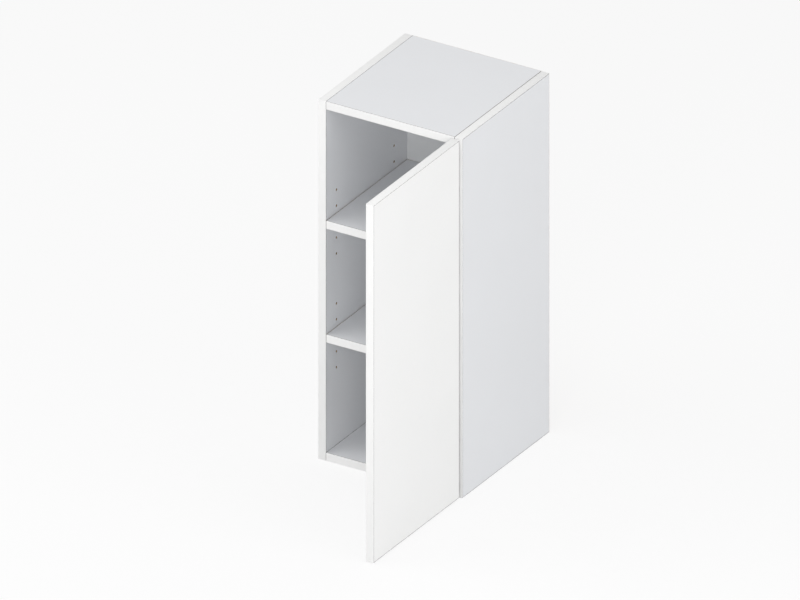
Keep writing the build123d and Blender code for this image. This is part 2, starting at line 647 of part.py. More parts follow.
# ------------------------------------------------------------------ hinge plate and arm
ARM_RISE = INNER_ARM_PIVOT[0] + EYE_RADIUS + ARM_EYE_MARGIN + ARM_STEEL  # side panel to the arm's high end
ARM_SCREW_SETBACKS = (SIDE_SCREW_SETBACK, DEPTH_SCREW_SETBACK)
RIVET_RADIUS = PIVOT_RADIUS - FIT / 2


def hinge_plate(z):
    """The mounting plate: two wings for the screws and a spine that the arm is screwed to."""
    face = ARM_FACE - PLATE_STEEL
    spine_face = ARM_FACE - SPINE_RISE
    end = FRONT + ARM_END
    low, high = plate_screw_levels(z)
    wings = block(face, INNER, PLATE_SCREW_Y - WING_HALF, PLATE_SCREW_Y + WING_HALF,
                  low - WING_HALF, high + WING_HALF)
    wings = fillet(wings.edges().filter_by(Axis.X), PLATE_CORNER)
    base = block(face, INNER, FRONT + PLATE_START, end + PLATE_MARGIN, z - PLATE_HALF, z + PLATE_HALF)
    spine = block(spine_face, face, FRONT + SPINE_START, end - PLATE_MARGIN, z - SPINE_HALF, z + SPINE_HALF)
    cuts = [drill((face, PLATE_SCREW_Y, level), X_AXIS, PLATE_SCREW_RADIUS + SCREW_PLAY,
                  PLATE_LIFT + PLATE_STEEL + OVERRUN) for level in (low, high)]
    cuts += [drill((spine_face, FRONT + setback, z), X_AXIS, ADJUSTER_RADIUS + FIT,
                   ARM_SCREW_BITE + END_ROOM) for setback in ARM_SCREW_SETBACKS]
    return wings + base + spine - cuts


def plate_screws(z):
    """The two screws of one mounting plate."""
    length = PLATE_STEEL + PLATE_LIFT + PLATE_SCREW_LENGTH
    return [screw((ARM_FACE - PLATE_STEEL, PLATE_SCREW_Y, level), X_AXIS, PLATE_SCREW_RADIUS - FIT, length,
                  PLATE_SCREW_HEAD) for level in plate_screw_levels(z)]


def arm_line(offset):
    """The arm's back seen in plan, a given distance below its outer face."""
    high = ARM_FACE - ARM_RISE + offset
    low = ARM_FACE - ARM_LOW_RISE + offset
    front = ARM_INNER.imag + ARM_BACK_START
    return [complex(high, front), complex(high, ARM_SLOPE[0]),
            complex(low, ARM_SLOPE[1]), complex(low, ARM_END)]


def hinge_arm(z):
    """The pressed steel arm: a back that slopes down to the plate, and two cheeks with the pivots."""
    keel = ARM_FACE - ARM_CLEARANCE
    eye = EYE_RADIUS + ARM_EYE_MARGIN
    cheek = outline(arm_line(0) + [complex(keel, ARM_END), complex(keel, ARM_SLOPE[0]),
                                   ARM_OUTER + EYE_RADIUS, ARM_INNER])
    cheek += disc(ARM_OUTER, eye) + disc(ARM_INNER, eye) + bar(ARM_OUTER, ARM_INNER, eye)
    cheek -= disc(ARM_OUTER, PIVOT_RADIUS) + disc(ARM_INNER, PIVOT_RADIUS)
    back = outline(arm_line(0) + list(reversed(arm_line(ARM_STEEL))))
    arm = both_layers(cheek, ARM_Z, z) + layer(back, z - ARM_Z[1], z + ARM_Z[1])
    return arm - [drill((ARM_FACE - ARM_LOW_RISE, FRONT + setback, z), X_AXIS, ADJUSTER_RADIUS + FIT,
                        ARM_STEEL + OVERRUN) for setback in ARM_SCREW_SETBACKS]


def arm_screw(z, setback):
    """One of the two adjusting screws between arm and plate."""
    seat = (ARM_FACE - ARM_LOW_RISE, FRONT + setback, z)
    return screw(seat, X_AXIS, ADJUSTER_RADIUS, ARM_LOW_RISE - SPINE_RISE + ARM_SCREW_BITE, ARM_SCREW_HEAD)


def arm_pins(z):
    """Two short rivets for the outer link and a through rivet for the inner link."""
    end = ARM_Z[1] + RIVET_PROUD
    stubs = both_layers(disc(ARM_OUTER, RIVET_RADIUS), (INNER_LINK_Z + RIVET_PLAY, end), z)
    through = layer(disc(ARM_INNER, RIVET_RADIUS), z - end, z + end)
    return [stubs, through]


def hinge_spring(z):
    """The leaf spring under the arm's back, which bears on the inner link's eye."""
    half = SPRING_STEEL / 2
    root = complex(ARM_FACE - ARM_RISE + ARM_STEEL + half, SPRING_START)
    aim = (root - ARM_INNER) / abs(root - ARM_INNER)
    tip = ARM_INNER + aim * (EYE_RADIUS + SPRING_GAP + half)
    corners = arm_line(0)
    leaf = bar(root, tip, half) + bar(root, root + (corners[2] - corners[1]) * SPRING_LEAF, half)
    return layer(leaf, z - SPRING_HALF, z + SPRING_HALF)


# ------------------------------------------------------------------ hinge links and cup
CUP_CENTRE = on_door((CUP_EDGE + CUP_RADIUS, 0))
CUP_SCREW_X = CUP_CENTRE.real - CUP_SCREW_OFFSET


def outer_link(z):
    """The outer link: two bent cheeks joined by a web beside the arm's pivot."""
    knee = on_door(OUTER_KNEE)
    cheek = bar(ARM_OUTER, knee, LINK_HALF) + bar(knee, DOOR_OUTER_PIVOT, LINK_HALF)
    cheek += disc(ARM_OUTER, EYE_RADIUS) + disc(DOOR_OUTER_PIVOT, EYE_RADIUS)
    cheek -= disc(ARM_OUTER, PIVOT_RADIUS + FIT) + disc(DOOR_OUTER_PIVOT, PIVOT_RADIUS + FIT)
    along = (knee - ARM_OUTER) / abs(knee - ARM_OUTER)
    line = ARM_OUTER + along * 1j * (LINK_HALF + ARM_STEEL / 2)
    web = bar(line + WEB_SPAN[0] * along, line + WEB_SPAN[1] * along, ARM_STEEL / 2)
    link = both_layers(cheek, OUTER_LINK_Z, z) + layer(web, z - OUTER_LINK_Z[1], z + OUTER_LINK_Z[1])
    return swung(link, ARM_OUTER, OUTER_SHARE * REST_ANGLE)


def inner_link(z):
    """The middle link, with the slot at the door's end."""
    near, far, radius = slot_of_inner_link()
    knee = on_door(INNER_KNEE)
    shape = bar(ARM_INNER, knee, LINK_HALF) + bar(knee, near, LINK_HALF)
    shape += disc(ARM_INNER, EYE_RADIUS) + bar(near, far, radius + SLOT_WALL)
    shape -= disc(ARM_INNER, PIVOT_RADIUS + FIT) + bar(near, far, radius)
    link = layer(shape, z - INNER_LINK_Z, z + INNER_LINK_Z)
    return swung(link, ARM_INNER, INNER_SHARE * REST_ANGLE)


def cup_screw_levels(z):
    """Heights of the two screws of the cup at one hinge."""
    return z - CUP_SCREW_SPACING / 2, z + CUP_SCREW_SPACING / 2


def cup_flange(z):
    """The pressed rim on the door, cut short towards the door's edge, with a wing for each screw."""
    reach = CUP_RADIUS + CUP_RING
    ring = rod((CUP_CENTRE.real, DOOR_INNER, z), Y_AXIS, reach, CUP_FLANGE)
    ring -= block(HINGE_EDGE - CUP_RING_CUT, HINGE_EDGE, DOOR_INNER - OVERRUN,
                  DOOR_INNER + CUP_FLANGE + OVERRUN, z - reach, z + reach)
    wing = Plane(origin=(CUP_SCREW_X, DOOR_INNER, z), x_dir=Z_AXIS, z_dir=Y_AXIS)
    return ring + extrude(wing * SlotCenterToCenter(CUP_SCREW_SPACING, CUP_WING), CUP_FLANGE)


def cup_ears(z):
    """The two ears inside the cup that hold the links' rivets."""
    floor = -DOOR_GAP - CUP_DEPTH + CUP_WALL / 2
    wall = HINGE_EDGE - CUP_EDGE
    inner_x = DOOR_INNER_PIVOT.real - EYE_RADIUS - EAR_MARGIN
    ear = outline([complex(wall, floor), complex(wall, DOOR_OUTER_PIVOT.imag),
                   complex(inner_x, DOOR_OUTER_PIVOT.imag), complex(inner_x, floor)])
    ear += disc(DOOR_OUTER_PIVOT, EYE_RADIUS)
    ear -= disc(DOOR_OUTER_PIVOT, PIVOT_RADIUS) + disc(DOOR_INNER_PIVOT, PIVOT_RADIUS)
    inside = rod((CUP_CENTRE.real, DOOR_INNER + CUP_DEPTH, z), TO_FRONT, CUP_RADIUS - FIT, 2 * CUP_DEPTH)
    return both_layers(ear, ARM_Z, z) & inside


def hinge_cup(z):
    """The pressed cup, with its flange on the door and two ears for the pins."""
    centre = (CUP_CENTRE.real, DOOR_INNER, z)
    rim = (CUP_CENTRE.real, DOOR_INNER + CUP_FLANGE, z)
    cup = rod(centre, TO_FRONT, CUP_RADIUS - FIT, CUP_DEPTH) + cup_flange(z)
    cup -= drill(rim, TO_FRONT, CUP_RADIUS - CUP_WALL, CUP_FLANGE + CUP_DEPTH - CUP_WALL)
    cup -= [drill((CUP_SCREW_X, DOOR_INNER + CUP_FLANGE, level), TO_FRONT, CUP_SCREW_RADIUS + SCREW_PLAY,
                  CUP_FLANGE + OVERRUN) for level in cup_screw_levels(z)]
    return opened(cup + cup_ears(z))


def cup_pins(z):
    """Two short rivets for the outer link and the through pin that rides in the inner link's slot."""
    stubs = both_layers(disc(DOOR_OUTER_PIVOT, RIVET_RADIUS), (INNER_LINK_Z + RIVET_PLAY, ARM_Z[1]), z)
    through = layer(disc(DOOR_INNER_PIVOT, RIVET_RADIUS), z - ARM_Z[1], z + ARM_Z[1])
    return [opened(stubs), opened(through)]


def cup_screws(z):
    """The two screws of one cup."""
    seat_y = DOOR_INNER + CUP_FLANGE
    return [opened(screw((CUP_SCREW_X, seat_y, level), TO_FRONT, CUP_SCREW_RADIUS - FIT,
                         CUP_SCREW_LENGTH + CUP_FLANGE, CUP_SCREW_HEAD)) for level in cup_screw_levels(z)]


# ------------------------------------------------------------------ door
DOOR_HALF = DOOR_EDGE - BAND


def door_panel():
    """The door board, bored for the cups and their screws."""
    board = block(-DOOR_HALF, DOOR_HALF, DOOR_OUTER, DOOR_INNER, DOOR_BOTTOM + BAND, DOOR_TOP - BAND)
    cuts = []
    for z in HINGES.values():
        cuts.append(drill((CUP_CENTRE.real, DOOR_INNER, z), TO_FRONT, CUP_RADIUS, CUP_DEPTH + 2 * FIT))
        cuts += [drill((CUP_SCREW_X, DOOR_INNER, level), TO_FRONT, CUP_SCREW_RADIUS,
                       CUP_SCREW_LENGTH + END_ROOM) for level in cup_screw_levels(z)]
    return opened(board - cuts)


def door_bands():
    """The four bands round the door."""
    middle = (DOOR_INNER + DOOR_OUTER) / 2
    tall = DOOR_TOP - DOOR_BOTTOM
    bands = [edge_band((DOOR_HALF, middle, DOOR_BOTTOM), Z_AXIS, X_AXIS, tall, DOOR_BOARD),
             edge_band((-DOOR_HALF, middle, DOOR_BOTTOM), Z_AXIS, TO_LEFT, tall, DOOR_BOARD),
             edge_band((-DOOR_HALF, middle, DOOR_TOP - BAND), X_AXIS, Z_AXIS, 2 * DOOR_HALF, DOOR_BOARD),
             edge_band((-DOOR_HALF, middle, DOOR_BOTTOM + BAND), X_AXIS, DOWN, 2 * DOOR_HALF, DOOR_BOARD)]
    return [opened(band) for band in bands]


def door_bumpers():
    """Two soft buttons near the free edge, facing the left side panel's front."""
    x = -INNER - BOARD / 2
    bumpers = []
    for z in (DOOR_BOTTOM + BUMPER_INSET, DOOR_TOP - BUMPER_INSET):
        button = rod((x, DOOR_INNER, z), Y_AXIS, BUMPER_RADIUS, BUMPER_HEIGHT)
        bumpers.append(opened(fillet(button.faces().sort_by(Axis.Y)[-1].edges(), BUMPER_ROUND)))
    return bumpers


# ------------------------------------------------------------------ writing the sub-parts
save("left_side_panel", mirrored(right_side_blank()))
save("right_side_panel", right_side_panel())
save("left_side_edge_bands", *[mirrored(band) for band in side_bands()])
save("right_side_edge_bands", *side_bands())
save("top_panel", horizontal_panel(TOP_UNDERSIDE, (TOP_UNDERSIDE - OVERRUN, TOP_UNDERSIDE + GROOVE_DEPTH)))
save("bottom_panel", horizontal_panel(0, (BOARD - GROOVE_DEPTH, BOARD + OVERRUN)))
save("top_panel_edge_band", front_band(TOP_UNDERSIDE, INNER))
save("bottom_panel_edge_band", front_band(0, INNER))
save("back_panel", back_panel())

for name, underside in SHELVES.items():
    save(f"{name}_shelf", shelf(underside))
    save(f"{name}_shelf_edge_band", front_band(underside, INNER - SHELF_PLAY))
    save(f"{name}_shelf_pins", *shelf_pins(underside))

FITTINGS = {"cam_discs": (cam_disc, CONNECTOR_ROWS), "cam_bolts": (cam_bolt, CONNECTOR_ROWS),
            "cam_caps": (cam_cap, CONNECTOR_ROWS), "dowels": (dowel, DOWEL_ROWS)}
for name, (maker, rows) in FITTINGS.items():
    right_hand = [maker(y, underside) for underside in JOINT_LEVELS.values() for y in rows]
    save(name, *both_hands(right_hand))

save("wall_rail", wall_rail())
save("hanger_plug_screws", *both_hands(hanger_screws()))
HANGER = {"case": hanger_case(), "hook": hanger_hook(), "cover": hanger_cover(),
          "height_screw": adjuster(HEIGHT_SCREW_Z, TAB_SETBACK + LEDGE_LENGTH),
          "depth_screw": adjuster(DEPTH_SCREW_Z, TAB_SETBACK + HOOK_STEEL + ADJUSTER_TAIL)}
for name, piece in HANGER.items():
    save(f"right_hanger_{name}", piece)
    save(f"left_hanger_{name}", mirrored(piece))

for name, z in HINGES.items():
    save(f"{name}_hinge_mounting_plate", hinge_plate(z))
    save(f"{name}_hinge_arm", hinge_arm(z))
    save(f"{name}_hinge_side_screw", arm_screw(z, SIDE_SCREW_SETBACK))
    save(f"{name}_hinge_depth_screw", arm_screw(z, DEPTH_SCREW_SETBACK))
    save(f"{name}_hinge_arm_pins", *arm_pins(z))
    save(f"{name}_hinge_outer_link", outer_link(z))
    save(f"{name}_hinge_inner_link", inner_link(z))
    save(f"{name}_hinge_cup", hinge_cup(z))
    save(f"{name}_hinge_cup_pins", *cup_pins(z))
    save(f"{name}_hinge_spring", hinge_spring(z))
save("mounting_plate_screws", *[piece for z in HINGES.values() for piece in plate_screws(z)])
save("cup_screws", *[piece for z in HINGES.values() for piece in cup_screws(z)])

save("door_panel", door_panel())
save("door_edge_bands", *door_bands())
save("door_bumpers", *door_bumpers())
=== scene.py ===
"""Finishes for the narrow wall cabinet, and the studio that shows it.

Each operator gives one group of pieces its finish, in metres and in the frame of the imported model.
Patterns read Object coordinates, so they stay on a piece as it moves.
"""

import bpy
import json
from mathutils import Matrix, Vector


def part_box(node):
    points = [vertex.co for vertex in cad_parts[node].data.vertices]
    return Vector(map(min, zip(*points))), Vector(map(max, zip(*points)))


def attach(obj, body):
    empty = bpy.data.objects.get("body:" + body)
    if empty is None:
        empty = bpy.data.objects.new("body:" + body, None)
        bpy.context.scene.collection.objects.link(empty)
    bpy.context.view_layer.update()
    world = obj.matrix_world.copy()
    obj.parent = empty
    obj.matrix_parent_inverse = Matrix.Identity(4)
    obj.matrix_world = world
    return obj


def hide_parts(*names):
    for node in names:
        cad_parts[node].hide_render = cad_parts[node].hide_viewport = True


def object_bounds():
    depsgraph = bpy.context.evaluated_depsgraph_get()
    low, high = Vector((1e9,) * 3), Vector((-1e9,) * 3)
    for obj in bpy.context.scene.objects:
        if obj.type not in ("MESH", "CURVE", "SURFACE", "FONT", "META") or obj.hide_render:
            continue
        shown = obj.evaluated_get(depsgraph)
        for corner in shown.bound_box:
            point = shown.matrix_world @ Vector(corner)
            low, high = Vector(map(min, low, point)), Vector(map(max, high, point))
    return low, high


bl_info = {
    "name": "Wall cabinet finishes",
    "version": (1, 0, 0),
    "blender": (4, 5, 0),
    "location": "3D View > Sidebar > Cabinet",
    "description": "Gives each piece of the wall cabinet its finish and sets up the studio",
    "category": "Object",
}

import json
import math
from itertools import product

import bmesh
import bpy
import numpy as np
from bpy.props import FloatProperty, FloatVectorProperty, PointerProperty
from mathutils import Vector

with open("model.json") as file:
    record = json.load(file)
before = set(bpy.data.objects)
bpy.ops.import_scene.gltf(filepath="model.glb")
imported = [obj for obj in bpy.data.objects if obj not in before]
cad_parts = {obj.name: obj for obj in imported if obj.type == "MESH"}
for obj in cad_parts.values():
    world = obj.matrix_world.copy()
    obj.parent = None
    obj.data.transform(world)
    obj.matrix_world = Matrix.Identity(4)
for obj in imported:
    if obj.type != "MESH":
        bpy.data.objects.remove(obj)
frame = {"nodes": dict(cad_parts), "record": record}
CAD_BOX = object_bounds()
NODES = frame["nodes"]
BODY_OF = {
    name: body for body, names in frame["record"]["behaviour"]["bodies"].items() for name in names
}

X, Y, Z = 0, 1, 2
HINGES = ("upper", "lower")
HANDS = ("left", "right")
SHELVES = ("upper_shelf", "lower_shelf")
OFF = 10.0  # a bound so far away that it never counts
ONE_POINT = 1e-6  # points that are closer than this are the same
SLIVER = 2e-6  # edges that are shorter than this are taken out

# How rough each finish is, from 0 to 1
ROUGHNESS = {"board": 0.42, "band": 0.34, "door": 0.30, "back": 0.38, "bumper": 0.22, "nickel": 0.24,
             "steel": 0.30, "spring": 0.35, "shelf_pin": 0.26, "bracket": 0.45, "cap": 0.40}
# How high the relief of each finish is, in metres
RELIEF = {"board": 0.00022, "band": 0.000006, "back": 0.00016, "bumper": 0.000004, "nickel": 0.000004,
          "steel": 0.000006, "spring": 0.000006, "shelf_pin": 0.000005, "galvanised": 0.000008,
          "bracket": 0.00002, "zinc": 0.00003, "cap": 0.00001, "beech": 0.00003}
COATED_SHARE = {"board": 0.2, "door": 0.07, "back": 0.06}  # of that relief, on a coated face
WEAR = 0.22  # how much rubbing changes the roughness of metal


# ------------------------------------------------------------------ what a user would change
def colour_property(name, description, default):
    """A colour, in linear values."""
    return FloatVectorProperty(
        name=name, description=description, default=default, subtype="COLOR", size=3, min=0, max=1
    )


def length_property(name, description, default):
    """A length in metres."""
    return FloatProperty(
        name=name, description=description, default=default, min=0, subtype="DISTANCE", unit="LENGTH"
    )


def angle_property(name, description, degrees):
    """An angle."""
    return FloatProperty(
        name=name, description=description, default=math.radians(degrees), subtype="ANGLE", unit="ROTATION"
    )


def power_property(name, description, default):
    """The power of a lamp in watts."""
    return FloatProperty(name=name, description=description, default=default, min=0, unit="POWER")


class CabinetColours(bpy.types.PropertyGroup):
    """The colours of the cabinet's finishes."""

    board: colour_property("Board", "Melamine of the carcass and the shelves", (0.775, 0.785, 0.805))
    band: colour_property("Edge band", "Bands on the carcass and the shelves", (0.86, 0.86, 0.855))
    door: colour_property("Door", "Both faces of the door", (0.885, 0.885, 0.88))
    # The joint colour is a real glue line, and painted shade of the gap where a piece meets a band or
    # another board
    joint: colour_property("Joint", "Glue line between a board and its band", (0.10, 0.095, 0.09))
    chip_light: colour_property("Chips, light", "Pale chips in a cut edge", (0.58, 0.42, 0.25))
    chip_dark: colour_property("Chips, dark", "Dark chips in a cut edge", (0.25, 0.15, 0.075))
    back_front: colour_property("Back, front", "Coated face of the back panel", (0.82, 0.83, 0.835))
    back_rear: colour_property("Back, rear", "Raw rear of the back panel", (0.27, 0.155, 0.075))
    nickel: colour_property("Nickel", "Hinge steel", (0.70, 0.685, 0.65))
    zinc: colour_property("Zinc", "Cast cams", (0.55, 0.56, 0.57))
    steel: colour_property("Plated steel", "Screws, rivets, bolts and pins", (0.66, 0.67, 0.68))
    galvanised: colour_property("Galvanised steel", "Wall rail and hooks", (0.56, 0.58, 0.60))
    spring: colour_property("Spring steel", "Leaf springs of the hinges", (0.30, 0.30, 0.31))
    bracket: colour_property("Bracket", "Plastic of the hanging brackets", (0.80, 0.80, 0.79))
    cap: colour_property("Cap", "Caps over the cams", (0.70, 0.71, 0.73))
    bumper: colour_property("Bumper", "Soft buttons on the door", (0.72, 0.73, 0.72))
    beech: colour_property("Beech", "Dowels", (0.55, 0.36, 0.19))


class CabinetSizes(bpy.types.PropertyGroup):
    """The small sizes that the finishes add."""

    skin: length_property("Melamine", "Thickness of the melamine on the chipboard", 0.0003)
    joint: length_property("Joint line", "Width of the line where a board meets its band", 0.0010)
    chip: length_property("Chipping", "How far the saw chips the melamine at a raw edge", 0.0008)
    edge: length_property("Steel edge", "Rounding along the edges of pressed steel", 0.00018)
    band_edge: length_property("Band edge", "Rounding along the edges of the bands", 0.00025)
    moulded_edge: length_property("Moulded edge", "Rounding along the edges of plastic", 0.0003)
    groove: length_property("Pin groove", "Depth of the rings turned into a shelf pin", 0.00025)


class StudioSettings(bpy.types.PropertyGroup):
    """The camera's place and the light."""

    azimuth: angle_property("Azimuth", "Camera to the right of the front", 31.05)
    elevation: angle_property("Elevation", "Camera above the horizon", 27.3)
    frame_width: length_property("Frame width", "What the picture is wide, at the object", 1.425)
    right_of_middle: length_property("Right of the middle", "Object's middle to the picture's", 0.060)
    above_middle: length_property("Above the middle", "Object's middle to the picture's", 0.003)
    floor: colour_property("Floor", "The pale floor", (0.80, 0.80, 0.80))
    sky: FloatProperty(
        name="Sky", description="Even light from all round", default=0.62, min=0, subtype="FACTOR"
    )
    front: power_property("Front lamp", "Shines into the cabinet", 28.0)
    right: power_property("Right lamp", "Shines on the right side", 29.0)
    left: power_property("Left lamp", "Shines on the left side", 30.0)


def colours():
    """The colours set on the scene."""
    return bpy.context.scene.cabinet_colours


def sizes():
    """The small sizes set on the scene."""
    return bpy.context.scene.cabinet_sizes


# ------------------------------------------------------------------ node trees
def even(value):
    """A vector with one value along every axis."""
    return Vector((value, value, value))


class Tree:
    """Adds nodes to one tree. An input is given as a value or as the socket that feeds it."""

    def __init__(self, tree):
        self.tree = tree

    def add(self, kind, inputs=(), **settings):
        """A new node, with its settings and inputs."""
        node = self.tree.nodes.new(kind)
        for name, value in settings.items():
            setattr(node, name, value)
        for key, value in dict(inputs).items():
            self.feed(node.inputs[key], value)
        return node

    def feed(self, socket, value):
        """A socket takes a link, or else a value."""
        if isinstance(value, bpy.types.NodeSocket):
            self.tree.links.new(value, socket)
        elif socket.type == "RGBA" and len(value) == 3:
            socket.default_value = (*value, 1.0)
        else:
            socket.default_value = value

    def math(self, operation, first, second=0.0):
        """The result of one sum on numbers."""
        return self.add("ShaderNodeMath", {0: first, 1: second}, operation=operation).outputs[0]

    def vector(self, operation, first, second):
        """The result of one sum on vectors."""
        return self.add("ShaderNodeVectorMath", {0: first, 1: second}, operation=operation).outputs[0]

    def parts(self, vector):
        """The three parts of a vector."""
        return self.add("ShaderNodeSeparateXYZ", {0: vector}).outputs

    def tinted(self, colour, level):
        """A colour made lighter or darker by a level."""
        return self.vector("MULTIPLY", colour, level)

    def mix(self, factor, first, second):
        """Two colours mixed by a factor."""
        return self.add("ShaderNodeMix", {0: factor, 6: first, 7: second}, data_type="RGBA").outputs[2]

    def between(self, factor, first, second):
        """Two numbers mixed by a factor."""
        return self.add("ShaderNodeMix", {0: factor, 2: first, 3: second}).outputs[0]

    def spread(self, value, low, high):
        """A value from 0 to 1, spread between two others."""
        node = self.add("ShaderNodeMapRange", {"Value": value, "To Min": low, "To Max": high})
        return node.outputs[0]

    def ramp(self, value, start, end):
        """0 below the start and 1 above the end, smooth between them."""
        node = self.add("ShaderNodeMapRange", {"Value": value, "From Min": start, "From Max": end},
                        interpolation_type="SMOOTHSTEP")
        return node.outputs[0]

    def stretched(self, vector, scale):
        """Coordinates scaled along each axis."""
        return self.add("ShaderNodeMapping", {"Vector": vector, "Scale": scale}).outputs[0]

    def bent(self, vector, scale, reach):
        """Coordinates pushed about by a noise with so many blotches in a metre, up to a reach in metres."""
        push = self.add("ShaderNodeTexNoise", {"Vector": vector, "Scale": scale}).outputs["Color"]
        return self.vector("ADD", vector, self.vector("MULTIPLY", push, even(reach)))

    def noise(self, vector, scale, detail=2.0, roughness=0.5):
        """Smooth noise from 0 to 1. The scale counts its blotches in a metre."""
        node = self.add("ShaderNodeTexNoise", {"Vector": vector, "Scale": scale, "Detail": detail,
                                               "Roughness": roughness})
        return node.outputs[0]

    def cells(self, vector, scale):
        """A random value for each cell of a pattern like flakes. The scale counts them in a metre."""
        node = self.add("ShaderNodeTexVoronoi", {"Vector": vector, "Scale": scale})
        return self.add("ShaderNodeSeparateColor", {0: node.outputs["Color"]}).outputs[0]


SOCKETS = {float: "NodeSocketFloat", tuple: "NodeSocketColor", Vector: "NodeSocketVector"}


def group(name, inputs, build):
    """A shader node group, built once. Inputs are names with defaults, whose type says the socket's.
    build(tree, inputs) gives the outputs, names with sockets."""
    made = bpy.data.node_groups.get(name)
    if made:
        return made
    made = bpy.data.node_groups.new(name, "ShaderNodeTree")
    for label, default in inputs.items():
        socket = made.interface.new_socket(label, in_out="INPUT", socket_type=SOCKETS[type(default)])
        socket.default_value = (*default, 1.0) if isinstance(default, tuple) else default
    tree = Tree(made)
    start = tree.add("NodeGroupInput")
    outputs = build(tree, start.outputs)
    for label, socket in outputs.items():
        kind = "NodeSocketColor" if label == "Colour" else "NodeSocketFloat"
        made.interface.new_socket(label, in_out="OUTPUT", socket_type=kind)
    tree.add("NodeGroupOutput", outputs)
    return made


def build_edge_distance(tree, ins):
    """How far a point lies inside the nearest of two sets of planes."""
    above = tree.vector("SUBTRACT", ins["Vector"], ins["Low"])
    below = tree.vector("SUBTRACT", ins["High"], ins["Vector"])
    nearest = tree.parts(tree.vector("MINIMUM", above, below))
    pair = tree.math("MINIMUM", nearest[X], nearest[Y])
    return {"Distance": tree.math("MINIMUM", pair, nearest[Z])}


def build_melamine(tree, ins):
    """A pearled melamine face: an even colour with the faintest mottling, and fine pearls."""
    broad = tree.noise(ins["Vector"], 7.0, 3.0)
    fine = tree.noise(ins["Vector"], 420.0, 2.0)
    pearls = tree.noise(ins["Vector"], 1500.0, 3.0, 0.6)
    shade = tree.math("ADD", tree.spread(broad, -0.015, 0.015), tree.spread(fine, -0.02, 0.02))
    return {"Colour": tree.tinted(ins["Base"], tree.math("ADD", shade, 1.0)),
            "Roughness": tree.math("ADD", ins["Rough"], tree.spread(fine, -0.05, 0.05)), "Height": pearls}


COARSE_FLAKES = 330.0  # in a metre
FINE_FLAKES = 900.0
MIDDLE_LAYER = (0.0020, 0.0040)  # depths between which the flakes turn from fine to coarse
FLAKE_LENGTH = 3.5  # times a flake's thickness
# Painted shade in the voids between flakes, as a share of the dark chips' colour
GAP_PAINTED_SHADE = 0.45  # of the dark chips' colour


def build_chipboard(tree, ins):
    """A sawn chipboard edge. Flat flakes lie along the board, coarse in its middle and fine near its
    faces, bent by a slow noise, with painted shade in the gaps between some of them. Flat is how much
    thinner than long they are, along each axis."""
    flat = tree.vector("MULTIPLY", tree.bent(ins["Vector"], 260.0, 0.0022), ins["Flat"])
    middle = tree.ramp(ins["Depth"], *MIDDLE_LAYER)
    coarse = tree.cells(flat, COARSE_FLAKES)
    flakes = tree.between(middle, tree.cells(flat, FINE_FLAKES), coarse)
    grain = tree.noise(flat, 1700.0, 3.0, 0.65)
    tone = tree.math("ADD", tree.math("MULTIPLY", flakes, 0.62), tree.math("MULTIPLY", grain, 0.42))
    solid = tree.ramp(tree.noise(flat, 420.0, 3.0, 0.7), 0.33, 0.43)
    chips = tree.mix(tone, ins["Dark"], ins["Light"])
    # The gaps between flakes take painted shade: the dark chips' colour, darkened
    return {"Colour": tree.mix(solid, tree.tinted(ins["Dark"], even(GAP_PAINTED_SHADE)), chips),
            "Roughness": tree.spread(grain, 0.75, 0.95), "Height": tree.math("MULTIPLY", tone, solid)}


WAFFLE_PITCH = 0.0016


def build_hardboard(tree, ins):
    """Hardboard: brown fibres with the waffle of the press's screen, a product of two sines."""
    vector = ins["Vector"]
    fibres = tree.noise(tree.stretched(vector, (1.0, 1.0, 0.35)), 900.0, 4.0, 0.65)
    blotches = tree.noise(vector, 28.0, 3.0)
    turns = 2 * math.pi / WAFFLE_PITCH
    place = tree.parts(vector)
    waves = [tree.math("SINE", tree.math("MULTIPLY", place[axis], turns)) for axis in (X, Z)]
    waffle = tree.math("MULTIPLY", *waves)
    level = tree.math("ADD", tree.spread(fibres, 0.72, 1.22), tree.spread(blotches, -0.12, 0.12))
    return {"Colour": tree.tinted(ins["Base"], level), "Roughness": tree.spread(fibres, 0.6, 0.85),
            "Height": tree.math("ADD", tree.math("MULTIPLY", waffle, 0.35), fibres)}


def build_metal(tree, ins):
    """Plated or bare metal: fine rubbing marks along one axis over a soft cloudiness."""
    marks = tree.noise(tree.stretched(ins["Vector"], (0.06, 1.0, 1.0)), 3500.0, 2.0)
    cloud = tree.noise(ins["Vector"], 160.0, 3.0)
    level = tree.math("ADD", tree.spread(cloud, 0.93, 1.07), tree.spread(marks, -0.05, 0.05))
    uneven = tree.math("SUBTRACT", tree.math("ADD", marks, cloud), 1.0)
    return {"Colour": tree.tinted(ins["Base"], level), "Height": marks,
            "Roughness": tree.math("ADD", ins["Rough"], tree.math("MULTIPLY", uneven, ins["Wear"]))}


def build_spangle(tree, ins):
    """Galvanised steel: flat crystals, each a little lighter or darker and rougher or smoother, with
    feathered edges. Size counts them in a metre."""
    feathered = tree.bent(ins["Vector"], 900.0, 0.0012)
    crystals = tree.add("ShaderNodeTexVoronoi", {"Vector": feathered, "Scale": ins["Size"]})
    shades = tree.add("ShaderNodeSeparateColor", {0: crystals.outputs["Color"]}).outputs
    dust = tree.noise(ins["Vector"], 900.0, 3.0)
    level = tree.math("ADD", tree.spread(shades[0], 0.86, 1.12), tree.spread(dust, -0.05, 0.05))
    return {"Colour": tree.tinted(ins["Base"], level), "Roughness": tree.spread(shades[1], 0.30, 0.50),
            "Height": tree.math("ADD", tree.math("MULTIPLY", shades[2], 0.4), dust)}


def build_moulded(tree, ins):
    """Moulded plastic: an even colour with the fine grain of an eroded mould."""
    grain = tree.noise(ins["Vector"], 2200.0, 2.0, 0.6)
    flow = tree.noise(tree.stretched(ins["Vector"], (1.0, 1.0, 0.3)), 60.0, 2.0)
    level = tree.math("ADD", tree.spread(flow, 0.975, 1.025), tree.spread(grain, -0.012, 0.012))
    return {"Colour": tree.tinted(ins["Base"], level), "Height": grain,
            "Roughness": tree.math("ADD", ins["Rough"], tree.spread(grain, -0.06, 0.06))}


